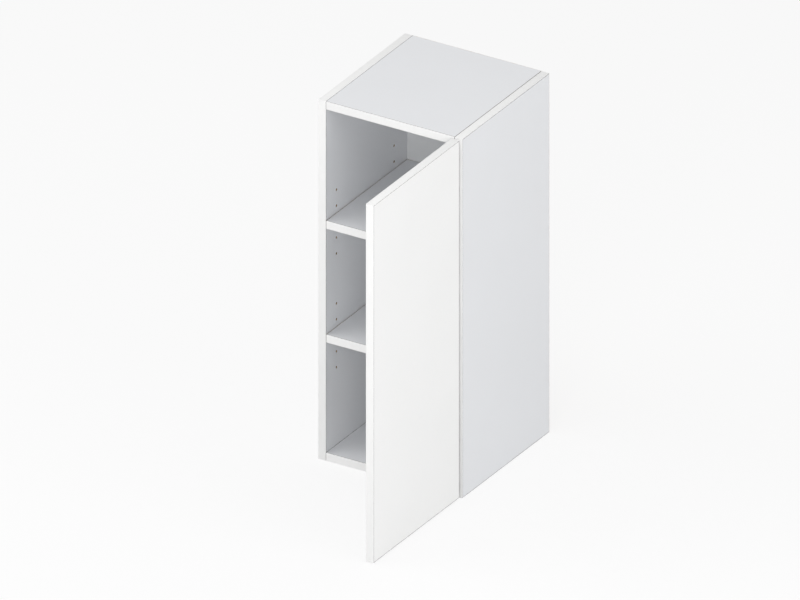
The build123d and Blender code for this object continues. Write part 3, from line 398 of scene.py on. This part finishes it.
def build_beech(tree, ins):
    """Beech along X: long fibres, faint rings and the short dark flecks of its rays."""
    vector = ins["Vector"]
    fibres = tree.noise(tree.stretched(vector, (0.05, 1.0, 1.0)), 2400.0, 3.0)
    rings = tree.noise(tree.stretched(vector, (0.02, 1.0, 1.0)), 420.0, 2.0)
    flecks = tree.ramp(tree.noise(tree.stretched(vector, (0.25, 1.0, 1.0)), 1600.0, 1.0), 0.62, 0.70)
    level = tree.math("ADD", tree.spread(fibres, 0.82, 1.12), tree.spread(rings, -0.08, 0.08))
    level = tree.math("SUBTRACT", level, tree.math("MULTIPLY", flecks, 0.22))
    return {"Colour": tree.tinted(ins["Base"], level), "Roughness": tree.spread(fibres, 0.5, 0.7),
            "Height": fibres}


ORIGIN = Vector((0, 0, 0))
PALE = (0.8, 0.8, 0.8)
COATING = {"Vector": ORIGIN, "Base": PALE, "Rough": 0.4}
GROUPS = {
    "edge_distance": (build_edge_distance, {"Vector": ORIGIN, "Low": ORIGIN, "High": ORIGIN}),
    "melamine": (build_melamine, COATING),
    "chipboard": (build_chipboard, {"Vector": ORIGIN, "Flat": even(1), "Depth": 0.0,
                                    "Light": PALE, "Dark": PALE}),
    "hardboard": (build_hardboard, {"Vector": ORIGIN, "Base": PALE}),
    "metal": (build_metal, {**COATING, "Wear": 0.2}),
    "spangle": (build_spangle, {"Vector": ORIGIN, "Base": PALE, "Size": 190.0}),
    "moulded": (build_moulded, COATING),
    "beech": (build_beech, {"Vector": ORIGIN, "Base": PALE}),
}


def effect(tree, name, inputs):
    """One of the shared effects, placed in a material."""
    build, defaults = GROUPS[name]
    return tree.add("ShaderNodeGroup", inputs, node_tree=group(name, defaults, build)).outputs


def new_material(name):
    """A material with its shader and its Object coordinates."""
    material = bpy.data.materials.new(name)
    material.use_nodes = True
    tree = Tree(material.node_tree)
    shader = material.node_tree.nodes["Principled BSDF"]
    where = tree.add("ShaderNodeTexCoord").outputs["Object"]
    return material, tree, shader, where


def dress(tree, shader, colour, roughness, height, relief):
    """Feeds the shader's colour, roughness and normal. relief is what a height of 1 is in metres."""
    tree.feed(shader.inputs["Base Color"], colour)
    tree.feed(shader.inputs["Roughness"], roughness)
    bump = tree.add("ShaderNodeBump", {"Strength": 1.0, "Distance": relief, "Height": height})
    tree.feed(shader.inputs["Normal"], bump.outputs[0])


def plain_material(name, pattern, values, relief, **sockets):
    """A material made of one shared effect with its values. sockets are constants set on the shader."""
    material, tree, shader, where = new_material(name)
    out = effect(tree, pattern, {"Vector": where, **values})
    dress(tree, shader, out["Colour"], out["Roughness"], out["Height"], relief)
    for socket, value in sockets.items():
        shader.inputs[socket.replace("_", " ")].default_value = value
    return material


def coloured(kind):
    """The colour of a kind of finish, with its roughness."""
    return {"Base": tuple(getattr(colours(), kind)), "Rough": ROUGHNESS[kind]}


def plated(name, kind, base):
    """A plated or bare metal of a kind, in a colour."""
    values = {"Base": tuple(base), "Rough": ROUGHNESS[kind], "Wear": WEAR}
    return plain_material(name, "metal", values, RELIEF[kind], Metallic=1.0)


def inside(tree, where, node, sides):
    """How far a point lies inside some of the sides of a node's box, given as axis and end."""
    corners = dict(zip(("Low", "High"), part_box(node)))
    planes = {"Low": even(-OFF), "High": even(OFF)}
    for axis, end in sides:
        planes[end][axis] = corners[end][axis]
    return effect(tree, "edge_distance", {"Vector": where, **planes})["Distance"]


def glue_and_shade_lines(tree, where, node, sides, colour):
    """A colour with thin dark lines along the sides where a piece meets its neighbours: a glue line, and
    painted shade of the joint's gap that fades out away from the side.
    """
    # Painted shade with the glue line: darkest at the side, fading to the piece's own colour across the
    # line's width
    clear = tree.ramp(inside(tree, where, node, sides), 0.3 * sizes().joint, sizes().joint)
    return tree.mix(clear, tuple(colours().joint), colour)


def band_material(node, sides, kind):
    """An even plastic band with a dark line, a glue line with painted shade of the gap, at each side that
    meets another band.
    """
    material, tree, shader, where = new_material(node + "_finish")
    out = effect(tree, "moulded", {"Vector": where, **coloured(kind)})
    colour = glue_and_shade_lines(tree, where, node, sides, out["Colour"])
    dress(tree, shader, colour, out["Roughness"], out["Height"], RELIEF["band"])
    return material


def board_material(node, across, sides, raw, kind):
    """A coated board: melamine on its faces, sawn chipboard where a cut goes deeper than the melamine,
    and a thin dark line along the sides where it meets a band or another board, a glue line with painted
    shade of the gap. Along its raw sides the saw has chipped the melamine here and there. across is the
    axis of its thickness."""
    material, tree, shader, where = new_material(node + "_finish")
    depth = inside(tree, where, node, ((across, "Low"), (across, "High")))
    face = effect(tree, "melamine", {"Vector": where, **coloured(kind)})
    flat = even(1)
    flat[across] = FLAKE_LENGTH
    chips = {"Light": tuple(colours().chip_light), "Dark": tuple(colours().chip_dark)}
    core = effect(tree, "chipboard", {"Vector": where, "Flat": flat, "Depth": depth, **chips})
    skin, chip = sizes().skin, sizes().chip
    splinters = tree.spread(tree.noise(where, 520.0, 4.0, 0.7), -1.2 * chip, 1.8 * chip)
    chipped = tree.math("LESS_THAN", inside(tree, where, node, raw), splinters)
    cut = tree.math("MAXIMUM", tree.ramp(depth, skin * 0.8, skin * 1.2), chipped)
    colour = tree.mix(cut, glue_and_shade_lines(tree, where, node, sides, face["Colour"]), core["Colour"])
    rough = tree.between(cut, face["Roughness"], core["Roughness"])
    height = tree.between(cut, tree.math("MULTIPLY", face["Height"], COATED_SHARE[kind]), core["Height"])
    dress(tree, shader, colour, rough, height, RELIEF["board"])
    return material


def finish_node(node, material):
    """A CAD node keeps its shape and takes a material."""
    mesh = NODES[node].data
    mesh.materials.clear()
    mesh.materials.append(material)


# ------------------------------------------------------------------ new pieces
SHARP = 40  # degrees by which two faces have to differ for a sharp edge between them
PIN_SHARP = 30  # the same for the shelf pins
OUTER_TURN = 35  # degrees by which an edge has to turn outwards to be rounded
IN_PLANE = 1  # degrees by which faces in one plane may differ


def new_piece(name, shape, node, material, sharp=SHARP):
    """A piece from a shape, given as arrays of vertices and faces."""
    vertices, faces = shape
    mesh = bpy.data.meshes.new(name)
    mesh.from_pydata(vertices.tolist(), [], faces.tolist())
    place_piece(name, mesh, node, material, sharp)


def place_piece(name, mesh, node, material, sharp=SHARP):
    """Links a mesh as the piece that stands for a node and rides on its body."""
    mesh.validate()
    mesh.materials.clear()
    mesh.materials.append(material)
    mesh.polygons.foreach_set("use_smooth", np.ones(len(mesh.polygons), bool))
    mesh.set_sharp_from_angle(angle=math.radians(sharp))
    piece = bpy.data.objects.new(name, mesh)
    bpy.context.scene.collection.objects.link(piece)
    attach(piece, BODY_OF[node])
    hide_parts(node)


def softened(node, material, width):
    """A copy of a node with its outer edges rounded off by a small width, as pressing, plating or
    moulding leaves them. Faces in one plane are joined first, and only edges that turn outwards are
    cut, so nothing grows."""
    shape = bmesh.new()
    shape.from_mesh(NODES[node].data)
    bmesh.ops.remove_doubles(shape, verts=shape.verts, dist=ONE_POINT)
    bmesh.ops.dissolve_limit(shape, angle_limit=math.radians(IN_PLANE), verts=shape.verts,
                             edges=shape.edges)
    outer = [edge for edge in shape.edges if edge.is_manifold and edge.is_convex
             and edge.calc_face_angle() > math.radians(OUTER_TURN)]
    bmesh.ops.bevel(shape, geom=outer, offset=width, segments=2, profile=0.6, affect="EDGES",
                    clamp_overlap=True)
    bmesh.ops.dissolve_degenerate(shape, dist=SLIVER, edges=shape.edges)
    bmesh.ops.triangulate(shape, faces=shape.faces)
    bmesh.ops.dissolve_degenerate(shape, dist=SLIVER, edges=shape.edges)
    mesh = bpy.data.meshes.new(node + "_softened")
    shape.to_mesh(mesh)
    shape.free()
    place_piece(node + "_finished", mesh, node, material)


def revolved(radii, heights, around=48):
    """A closed solid of revolution about Z. Ring i has radius radii[i] at height heights[i], the points
    of a ring lie at equal angles, and a point at each end closes the solid. A ring that repeats the one
    before it is left out."""
    fresh = np.hypot(np.diff(radii, prepend=-1), np.diff(heights, prepend=-1)) > ONE_POINT / 10
    radii, heights = radii[fresh], heights[fresh]
    angle = np.linspace(0, 2 * math.pi, around, endpoint=False)
    rings = np.stack([np.outer(radii, np.cos(angle)), np.outer(radii, np.sin(angle)),
                      np.repeat(heights[:, None], around, 1)], axis=-1).reshape(-1, 3)
    ends = np.array([[0, 0, heights[0]], [0, 0, heights[-1]]])
    column = np.arange(around)
    beside = (column + 1) % around
    row = np.arange(len(radii) - 1)[:, None] * around
    quads = np.stack([row + column, row + beside, row + around + beside, row + around + column], axis=-1)
    quads = quads.reshape(-1, 4)
    first, last = len(rings), len(rings) + 1
    top = (len(radii) - 1) * around
    low = np.stack([np.full(around, first), beside, column], axis=-1)
    high = np.stack([np.full(around, last), top + column, top + beside], axis=-1)
    triangles = np.vstack([quads[:, [0, 1, 2]], quads[:, [0, 2, 3]], low, high])
    return np.vstack([rings, ends]), triangles


def joined(parts):
    """Several shapes as one."""
    vertices, faces, count = [], [], 0
    for points, triangles in parts:
        vertices.append(points)
        faces.append(triangles + count)
        count += len(points)
    return np.vstack(vertices), np.vstack(faces)


def islands(node):
    """The lowest and highest corners of each separate solid of a node. Points at one place are joined,
    and each takes the lowest number among its triangles' corners until no number changes."""
    mesh = NODES[node].data
    places = np.empty(3 * len(mesh.vertices))
    mesh.vertices.foreach_get("co", places)
    corners = np.empty(len(mesh.loops), int)
    mesh.loops.foreach_get("vertex_index", corners)
    points, joined_to = np.unique(places.reshape(-1, 3).round(6), axis=0, return_inverse=True)
    triangles = joined_to.reshape(-1)[corners].reshape(-1, 3)
    label = np.arange(len(points))
    settled = False
    while not settled:
        lowest = label.copy()
        np.minimum.at(lowest, triangles, label[triangles].min(1, keepdims=True))
        settled = bool((lowest == label).all())
        label = lowest
    solids = [points[label == number] for number in np.unique(label)]
    return [(solid.min(0), solid.max(0)) for solid in solids]


def bumper_domes():
    """Soft buttons on the door: a flat foot with a rounded shoulder under a shallow dome. The dome's
    height falls with the square of the distance from its middle, and the shoulder is an arc."""
    parts = []
    for low, high in islands("door_bumpers"):
        radius = (high[Z] - low[Z]) / 2
        middle = (low + high) / 2
        height = high[X] - low[X]
        shoulder = 0.45 * height
        dome = 0.25 * height
        arc = np.linspace(0, math.pi / 2, 9)
        out = np.linspace(1, 0.02, 14)[1:]
        radii = np.concatenate([[radius * 0.94], [radius], radius - shoulder * (1 - np.cos(arc)),
                                (radius - shoulder) * out])
        side = height - dome - shoulder * (1 - np.sin(arc))
        levels = np.concatenate([[0.0], [height * 0.04], side, height - dome * out**2])
        points, triangles = revolved(radii, levels)
        turned = np.stack([high[X] - points[:, Z], middle[Y] + points[:, X], middle[Z] - points[:, Y]],
                          axis=-1)
        parts.append((turned, triangles))
    return joined(parts)


def cap_discs():
    """Round caps over the cams. The face that shows is dished, its depth falling with the square of the
    distance from the middle, with one shallow ring in the shape of a raised cosine near the rim."""
    dish_depth, dish_reach = 0.00014, 0.76
    ring_depth, ring_place, ring_reach = 0.00020, 0.84, 0.05
    parts = []
    for low, high in islands("cam_caps"):
        radius = (high[X] - low[X]) / 2
        middle = (low + high) / 2
        out = np.linspace(0.02, 0.955, 60)
        dish = dish_depth * np.maximum(0, 1 - (out / dish_reach) ** 2)
        across_ring = np.clip((out - ring_place) / ring_reach, -1, 1) * math.pi
        ring = ring_depth * (1 + np.cos(across_ring)) / 2
        arc = np.linspace(0, math.pi / 2, 7)
        corner = 0.045 * radius
        radii = np.concatenate([radius * out, radius - corner + corner * np.sin(arc), [radius * 0.995]])
        levels = np.concatenate([dish + ring, corner * (1 - np.cos(arc)), [high[Z] - low[Z]]])
        points, triangles = revolved(radii, levels)
        parts.append((points + np.array([middle[X], middle[Y], low[Z]]), triangles))
    return joined(parts)


def turned_pins(shelf):
    """Shelf pins as they are turned: a plug with three rings round it where it grips the board, a peg
    with a rounded end, and the flat that the shelf rests on, made by holding every point of the peg at
    or below the shelf's underside."""
    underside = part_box(shelf)[0][Z]
    inner_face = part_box("right_side_panel")[0][X]
    rings, around = 3, 40
    parts = []
    for low, high in islands(shelf + "_pins"):
        side = 1 if high[X] > 0 else -1
        start = high[X] if side > 0 else low[X]
        length = high[X] - low[X]
        plug = abs(start) - inner_face
        peg_radius = (high[Y] - low[Y]) / 2
        centre_y, centre_z = (low[Y] + high[Y]) / 2, low[Z] + peg_radius
        plug_radius = high[Z] - centre_z
        arc = np.linspace(0, math.pi / 2, 7)
        tip = 0.3 * peg_radius
        along = np.linspace(0.08 * plug, 0.96 * plug, 40)
        grips = plug_radius - sizes().groove * (np.cos(along / plug * 2 * rings * math.pi) > 0.55)
        radii = np.concatenate([[0.8 * plug_radius], grips, [plug_radius, peg_radius],
                                peg_radius - tip * (1 - np.cos(arc))])
        levels = np.concatenate([[0.0], along, [plug, plug], length - tip + tip * np.sin(arc)])
        points, triangles = revolved(radii, levels, around)
        on_peg = np.arange(len(points)) >= around * (len(along) + 2)
        height = centre_z - side * points[:, Y]
        height = np.where(on_peg, np.minimum(height, underside), height)
        turned = np.stack([start - side * points[:, Z], centre_y + points[:, X], height], axis=-1)
        parts.append((turned, triangles))
    return joined(parts)


# ------------------------------------------------------------------ operators
SIDE_LINES = ((Y, "Low"), (Z, "Low"), (Z, "High"))
ENDS = ((X, "Low"), (X, "High"))
FRONT = ((Y, "Low"),)
REAR = ((Y, "High"),)
DOOR_LINES = ((Y, "Low"), (Y, "High"), (Z, "Low"), (Z, "High"))
# Each board's axis of thickness, the sides with a joint line (glue and painted shade of the gap), and the
# raw sides
BOARDS = {
    "left_side_panel": (X, SIDE_LINES, REAR), "right_side_panel": (X, SIDE_LINES, REAR),
    "top_panel": (Z, FRONT + ENDS, REAR), "bottom_panel": (Z, FRONT + ENDS, REAR),
    "upper_shelf": (Z, FRONT, REAR + ENDS), "lower_shelf": (Z, FRONT, REAR + ENDS),
}
# Each band's node, and the sides with a joint line (glue and painted shade of the gap)
BANDS = {
    "left_side_edge_bands": (), "right_side_edge_bands": (), "top_panel_edge_band": ENDS,
    "bottom_panel_edge_band": ENDS, "upper_shelf_edge_band": (), "lower_shelf_edge_band": (),
}


class CabinetOperator(bpy.types.Operator):
    """What the operators share."""

    bl_options = {"REGISTER", "UNDO"}


class CABINET_OT_boards(CabinetOperator):
    """Pearled melamine on the carcass boards and the shelves, with sawn chipboard in their cut edges"""

    bl_idname = "cabinet.boards"
    bl_label = "Carcass boards and shelves"

    def execute(self, context):
        for node, (across, lines, raw) in BOARDS.items():
            finish_node(node, board_material(node, across, lines, raw, "board"))
        return {"FINISHED"}


class CABINET_OT_bands(CabinetOperator):
    """Smooth plastic bands on the front edges of the carcass and the shelves"""

    bl_idname = "cabinet.bands"
    bl_label = "Edge bands"

    def execute(self, context):
        for node, lines in BANDS.items():
            softened(node, band_material(node, lines, "band"), sizes().band_edge)
        return {"FINISHED"}


class CABINET_OT_back(CabinetOperator):
    """The back panel: a coated face in the cabinet, and raw brown hardboard behind and in its edges"""

    bl_idname = "cabinet.back"
    bl_label = "Back panel"

    def execute(self, context):
        coated_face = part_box("back_panel")[0][Y]
        material, tree, shader, where = new_material("back_panel_finish")
        front = effect(tree, "melamine", {"Vector": where, "Base": tuple(colours().back_front),
                                          "Rough": ROUGHNESS["back"]})
        rear = effect(tree, "hardboard", {"Vector": where, "Base": tuple(colours().back_rear)})
        raw = tree.math("GREATER_THAN", tree.parts(where)[Y], coated_face + sizes().skin)
        colour = tree.mix(raw, front["Colour"], rear["Colour"])
        rough = tree.between(raw, front["Roughness"], rear["Roughness"])
        coated = tree.math("MULTIPLY", front["Height"], COATED_SHARE["back"])
        height = tree.between(raw, coated, rear["Height"])
        dress(tree, shader, colour, rough, height, RELIEF["back"])
        finish_node("back_panel", material)
        return {"FINISHED"}


class CABINET_OT_door(CabinetOperator):
    """The smooth white door with its bands"""

    bl_idname = "cabinet.door"
    bl_label = "Door"

    def execute(self, context):
        finish_node("door_panel", board_material("door_panel", X, DOOR_LINES, (), "door"))
        band = band_material("door_edge_bands", (), "door")
        softened("door_edge_bands", band, sizes().band_edge)
        return {"FINISHED"}


class CABINET_OT_bumpers(CabinetOperator):
    """Soft clear domes on the door's free edge"""

    bl_idname = "cabinet.bumpers"
    bl_label = "Door bumpers"

    def execute(self, context):
        soft = plain_material("bumper_finish", "moulded", coloured("bumper"), RELIEF["bumper"],
                              Transmission_Weight=0.35)
        new_piece("door_bumper_domes", bumper_domes(), "door_bumpers", soft)
        return {"FINISHED"}


class CABINET_OT_hinges(CabinetOperator):
    """Nickel on the hinges' pressed steel, bright screws and rivets, and dark leaf springs"""

    bl_idname = "cabinet.hinges"
    bl_label = "Hinges"

    def execute(self, context):
        nickel = plated("nickel_finish", "nickel", colours().nickel)
        steel = plated("screw_finish", "steel", colours().steel)
        spring = plated("spring_finish", "spring", colours().spring)
        for hinge in HINGES:
            for piece in ("mounting_plate", "arm", "outer_link", "inner_link", "cup"):
                softened(f"{hinge}_hinge_{piece}", nickel, sizes().edge)
            for piece in ("side_screw", "depth_screw", "arm_pins", "cup_pins"):
                softened(f"{hinge}_hinge_{piece}", steel, sizes().edge)
            softened(f"{hinge}_hinge_spring", spring, sizes().edge)
        for node in ("mounting_plate_screws", "cup_screws"):
            softened(node, steel, sizes().edge)
        return {"FINISHED"}


class CABINET_OT_hangers(CabinetOperator):
    """The galvanised wall rail and hooks, and the plastic brackets with their covers and screws"""

    bl_idname = "cabinet.hangers"
    bl_label = "Wall rail and hanging brackets"

    def execute(self, context):
        galvanised = plain_material("galvanised_finish", "spangle", {"Base": tuple(colours().galvanised)},
                                    RELIEF["galvanised"], Metallic=1.0)
        plastic = plain_material("bracket_finish", "moulded", coloured("bracket"), RELIEF["bracket"])
        steel = plated("bracket_screw_finish", "steel", colours().steel)
        softened("wall_rail", galvanised, sizes().edge)
        softened("hanger_plug_screws", steel, sizes().edge)
        for hand in HANDS:
            softened(f"{hand}_hanger_hook", galvanised, sizes().edge)
            for piece in ("case", "cover"):
                softened(f"{hand}_hanger_{piece}", plastic, sizes().moulded_edge)
            for piece in ("height_screw", "depth_screw"):
                softened(f"{hand}_hanger_{piece}", steel, sizes().edge)
        return {"FINISHED"}


class CABINET_OT_fittings(CabinetOperator):
    """Cams, bolts, caps and dowels of the carcass joints"""

    bl_idname = "cabinet.fittings"
    bl_label = "Corner fittings"

    def execute(self, context):
        zinc = plain_material("zinc_finish", "spangle", {"Base": tuple(colours().zinc), "Size": 1100.0},
                              RELIEF["zinc"], Metallic=1.0)
        steel = plated("bolt_finish", "steel", colours().steel)
        cap = plain_material("cap_finish", "moulded", coloured("cap"), RELIEF["cap"])
        beech = plain_material("beech_finish", "beech", {"Base": tuple(colours().beech)}, RELIEF["beech"])
        softened("cam_discs", zinc, sizes().edge)
        softened("cam_bolts", steel, sizes().edge)
        new_piece("cam_cap_discs", cap_discs(), "cam_caps", cap)
        finish_node("dowels", beech)
        return {"FINISHED"}


class CABINET_OT_shelf_pins(CabinetOperator):
    """Turned pins under both shelves"""

    bl_idname = "cabinet.shelf_pins"
    bl_label = "Shelf pins"

    def execute(self, context):
        steel = plated("shelf_pin_finish", "shelf_pin", colours().steel)
        for shelf in SHELVES:
            new_piece(f"{shelf}_turned_pins", turned_pins(shelf), f"{shelf}_pins", steel, PIN_SHARP)
        return {"FINISHED"}


# ------------------------------------------------------------------ stage
LAMP_TARGET = Vector((0.0, -0.25, 0.36))
# Each lamp's place, and the length of its side
LAMPS = {
    "front": ((1.28, -3.13, 1.63), 1.2), "right": ((3.0, -0.9, 2.0), 2.4), "left": ((-2.0, -1.6, 2.6), 2.4),
}
WHITE = (1.0, 1.0, 1.0)
FLOOR_REACH = 30.0
FLOOR_GAP = 0.0006  # between the floor and the cabinet's underside
SHADOW_SHARE = (0.16, 0.16, 0.16)  # how much of the light a floor seen directly shows
FLOOR_GLOW = 0.815  # what such a floor shows in full shadow
CAMERA_DISTANCE = 6.0


def turn_to(direction):
    """The rotation of a lamp or camera that looks along a direction."""
    return direction.to_track_quat("-Z", "Y").to_euler()


def soft_lamp(name, place, size, power):
    """A large square lamp that faces the cabinet."""
    lamp = bpy.data.lights.new(name, "AREA")
    lamp.size = size
    lamp.energy = power
    stand = bpy.data.objects.new(name, lamp)
    stand.location = place
    stand.rotation_euler = turn_to(LAMP_TARGET - Vector(place))
    bpy.context.scene.collection.objects.link(stand)


def seen_directly(tree):
    """1 for rays from the camera, off metal or through glass, and 0 for the light on the object."""
    path = tree.add("ShaderNodeLightPath").outputs
    mirrored = tree.math("MAXIMUM", path["Is Glossy Ray"], path["Is Transmission Ray"])
    return tree.math("MAXIMUM", path["Is Camera Ray"], mirrored)


def mixed_shader(tree, factor, first, second):
    """Two shaders mixed by a factor."""
    return tree.add("ShaderNodeMixShader", {0: factor, 1: first.outputs[0], 2: second.outputs[0]})


def make_sky(studio):
    """An even pale light all round, seen as plain white."""
    world = bpy.data.worlds.new("studio_sky")
    bpy.context.scene.world = world
    world.use_nodes = True
    world.node_tree.nodes.clear()
    tree = Tree(world.node_tree)
    light = tree.add("ShaderNodeBackground", {"Color": WHITE, "Strength": studio.sky})
    shown = tree.add("ShaderNodeBackground", {"Color": WHITE, "Strength": 1.0})
    both = mixed_shader(tree, seen_directly(tree), light, shown)
    tree.add("ShaderNodeOutputWorld", {0: both.outputs[0]})


def make_floor(studio):
    """A wide pale floor just below the cabinet. Seen directly it is nearly white and keeps a soft
    shadow, and from below it can be looked through."""
    level = CAD_BOX[0][Z] - FLOOR_GAP
    corners = [(x * FLOOR_REACH, y * FLOOR_REACH, level) for x, y in ((-1, -1), (1, -1), (1, 1), (-1, 1))]
    mesh = bpy.data.meshes.new("floor")
    mesh.from_pydata(corners, [], [(0, 1, 2, 3)])
    floor = bpy.data.objects.new("floor", mesh)
    bpy.context.scene.collection.objects.link(floor)
    material = bpy.data.materials.new("pale_floor")
    material.use_nodes = True
    material.node_tree.nodes.clear()
    tree = Tree(material.node_tree)
    plain = tree.add("ShaderNodeBsdfDiffuse", {"Color": tuple(studio.floor)})
    thin = tree.add("ShaderNodeBsdfDiffuse", {"Color": SHADOW_SHARE})
    glow = tree.add("ShaderNodeEmission", {"Color": WHITE, "Strength": FLOOR_GLOW})
    bright = tree.add("ShaderNodeAddShader", {0: thin.outputs[0], 1: glow.outputs[0]})
    above = mixed_shader(tree, seen_directly(tree), plain, bright)
    from_below = tree.add("ShaderNodeNewGeometry").outputs["Backfacing"]
    both = mixed_shader(tree, from_below, above, tree.add("ShaderNodeBsdfTransparent"))
    tree.add("ShaderNodeOutputMaterial", {0: both.outputs[0]})
    mesh.materials.append(material)


def make_camera(studio):
    """A camera without perspective, along the direction in which the drawing is projected. It is centred
    between the carcass's left edge and the object's right one, and between the foot of the open door
    and the object's top, and then moved by the offsets of the settings."""
    azimuth, elevation = studio.azimuth, studio.elevation
    level = math.cos(elevation)
    back = Vector((math.sin(azimuth) * level, -math.cos(azimuth) * level, math.sin(elevation)))
    right = Vector((math.cos(azimuth), math.sin(azimuth), 0))
    up = back.cross(right)
    corners = [Vector(corner) for corner in product(*zip(*CAD_BOX))]
    door_low, door_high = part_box("door_edge_bands")
    door_foot = Vector((door_high[X], door_low[Y], door_low[Z]))
    seen_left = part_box("left_side_edge_bands")[0].dot(right)
    seen_right = max(corner.dot(right) for corner in corners)
    seen_bottom = door_foot.dot(up)
    seen_top = max(corner.dot(up) for corner in corners)
    middle = (right * ((seen_left + seen_right) / 2 - studio.right_of_middle)
              + up * ((seen_bottom + seen_top) / 2 - studio.above_middle))
    camera = bpy.data.cameras.new("camera")
    camera.type = "ORTHO"
    camera.ortho_scale = studio.frame_width
    camera.clip_end = 10 * CAMERA_DISTANCE
    stand = bpy.data.objects.new("camera", camera)
    stand.location = middle + back * CAMERA_DISTANCE
    stand.rotation_euler = turn_to(-back)
    bpy.context.scene.collection.objects.link(stand)
    bpy.context.scene.camera = stand


class CABINET_OT_stage(CabinetOperator):
    """The pale floor, the soft light and the camera"""

    bl_idname = "cabinet.stage"
    bl_label = "Studio"

    def execute(self, context):
        studio = context.scene.cabinet_studio
        make_sky(studio)
        make_floor(studio)
        make_camera(studio)
        for name, (place, size) in LAMPS.items():
            soft_lamp(f"{name}_lamp", place, size, getattr(studio, name))
        context.scene.view_settings.view_transform = "Standard"
        return {"FINISHED"}


# ------------------------------------------------------------------ panel and registration
PIECE_OPERATORS = (
    CABINET_OT_boards, CABINET_OT_bands, CABINET_OT_back, CABINET_OT_door, CABINET_OT_bumpers,
    CABINET_OT_hinges, CABINET_OT_hangers, CABINET_OT_fittings, CABINET_OT_shelf_pins,
)
SETTINGS = {
    "cabinet_colours": CabinetColours, "cabinet_sizes": CabinetSizes, "cabinet_studio": StudioSettings,
}


class CABINET_PT_panel(bpy.types.Panel):
    """Lists the finishing operators and their settings"""

    bl_label = "Wall cabinet"
    bl_space_type = "VIEW_3D"
    bl_region_type = "UI"
    bl_category = "Cabinet"

    def draw(self, context):
        column = self.layout.column(align=True)
        for operator in (*PIECE_OPERATORS, CABINET_OT_stage):
            column.operator(operator.bl_idname)
        for name, kind in SETTINGS.items():
            box = self.layout.box()
            for value in kind.__annotations__:
                box.prop(getattr(context.scene, name), value)


CLASSES = (*SETTINGS.values(), *PIECE_OPERATORS, CABINET_OT_stage, CABINET_PT_panel)


def register():
    """Adds the classes, and the settings to the scene."""
    for kind in CLASSES:
        bpy.utils.register_class(kind)
    for name, kind in SETTINGS.items():
        setattr(bpy.types.Scene, name, PointerProperty(type=kind))


def unregister():
    """Takes the settings and the classes away."""
    for name in SETTINGS:
        delattr(bpy.types.Scene, name)
    for kind in reversed(CLASSES):
        bpy.utils.unregister_class(kind)


def main():
    register()
    for operator in (*PIECE_OPERATORS, CABINET_OT_stage):
        group_name, name = operator.bl_idname.split(".")
        getattr(getattr(bpy.ops, group_name), name)()


if __name__ == "__main__":
    main()
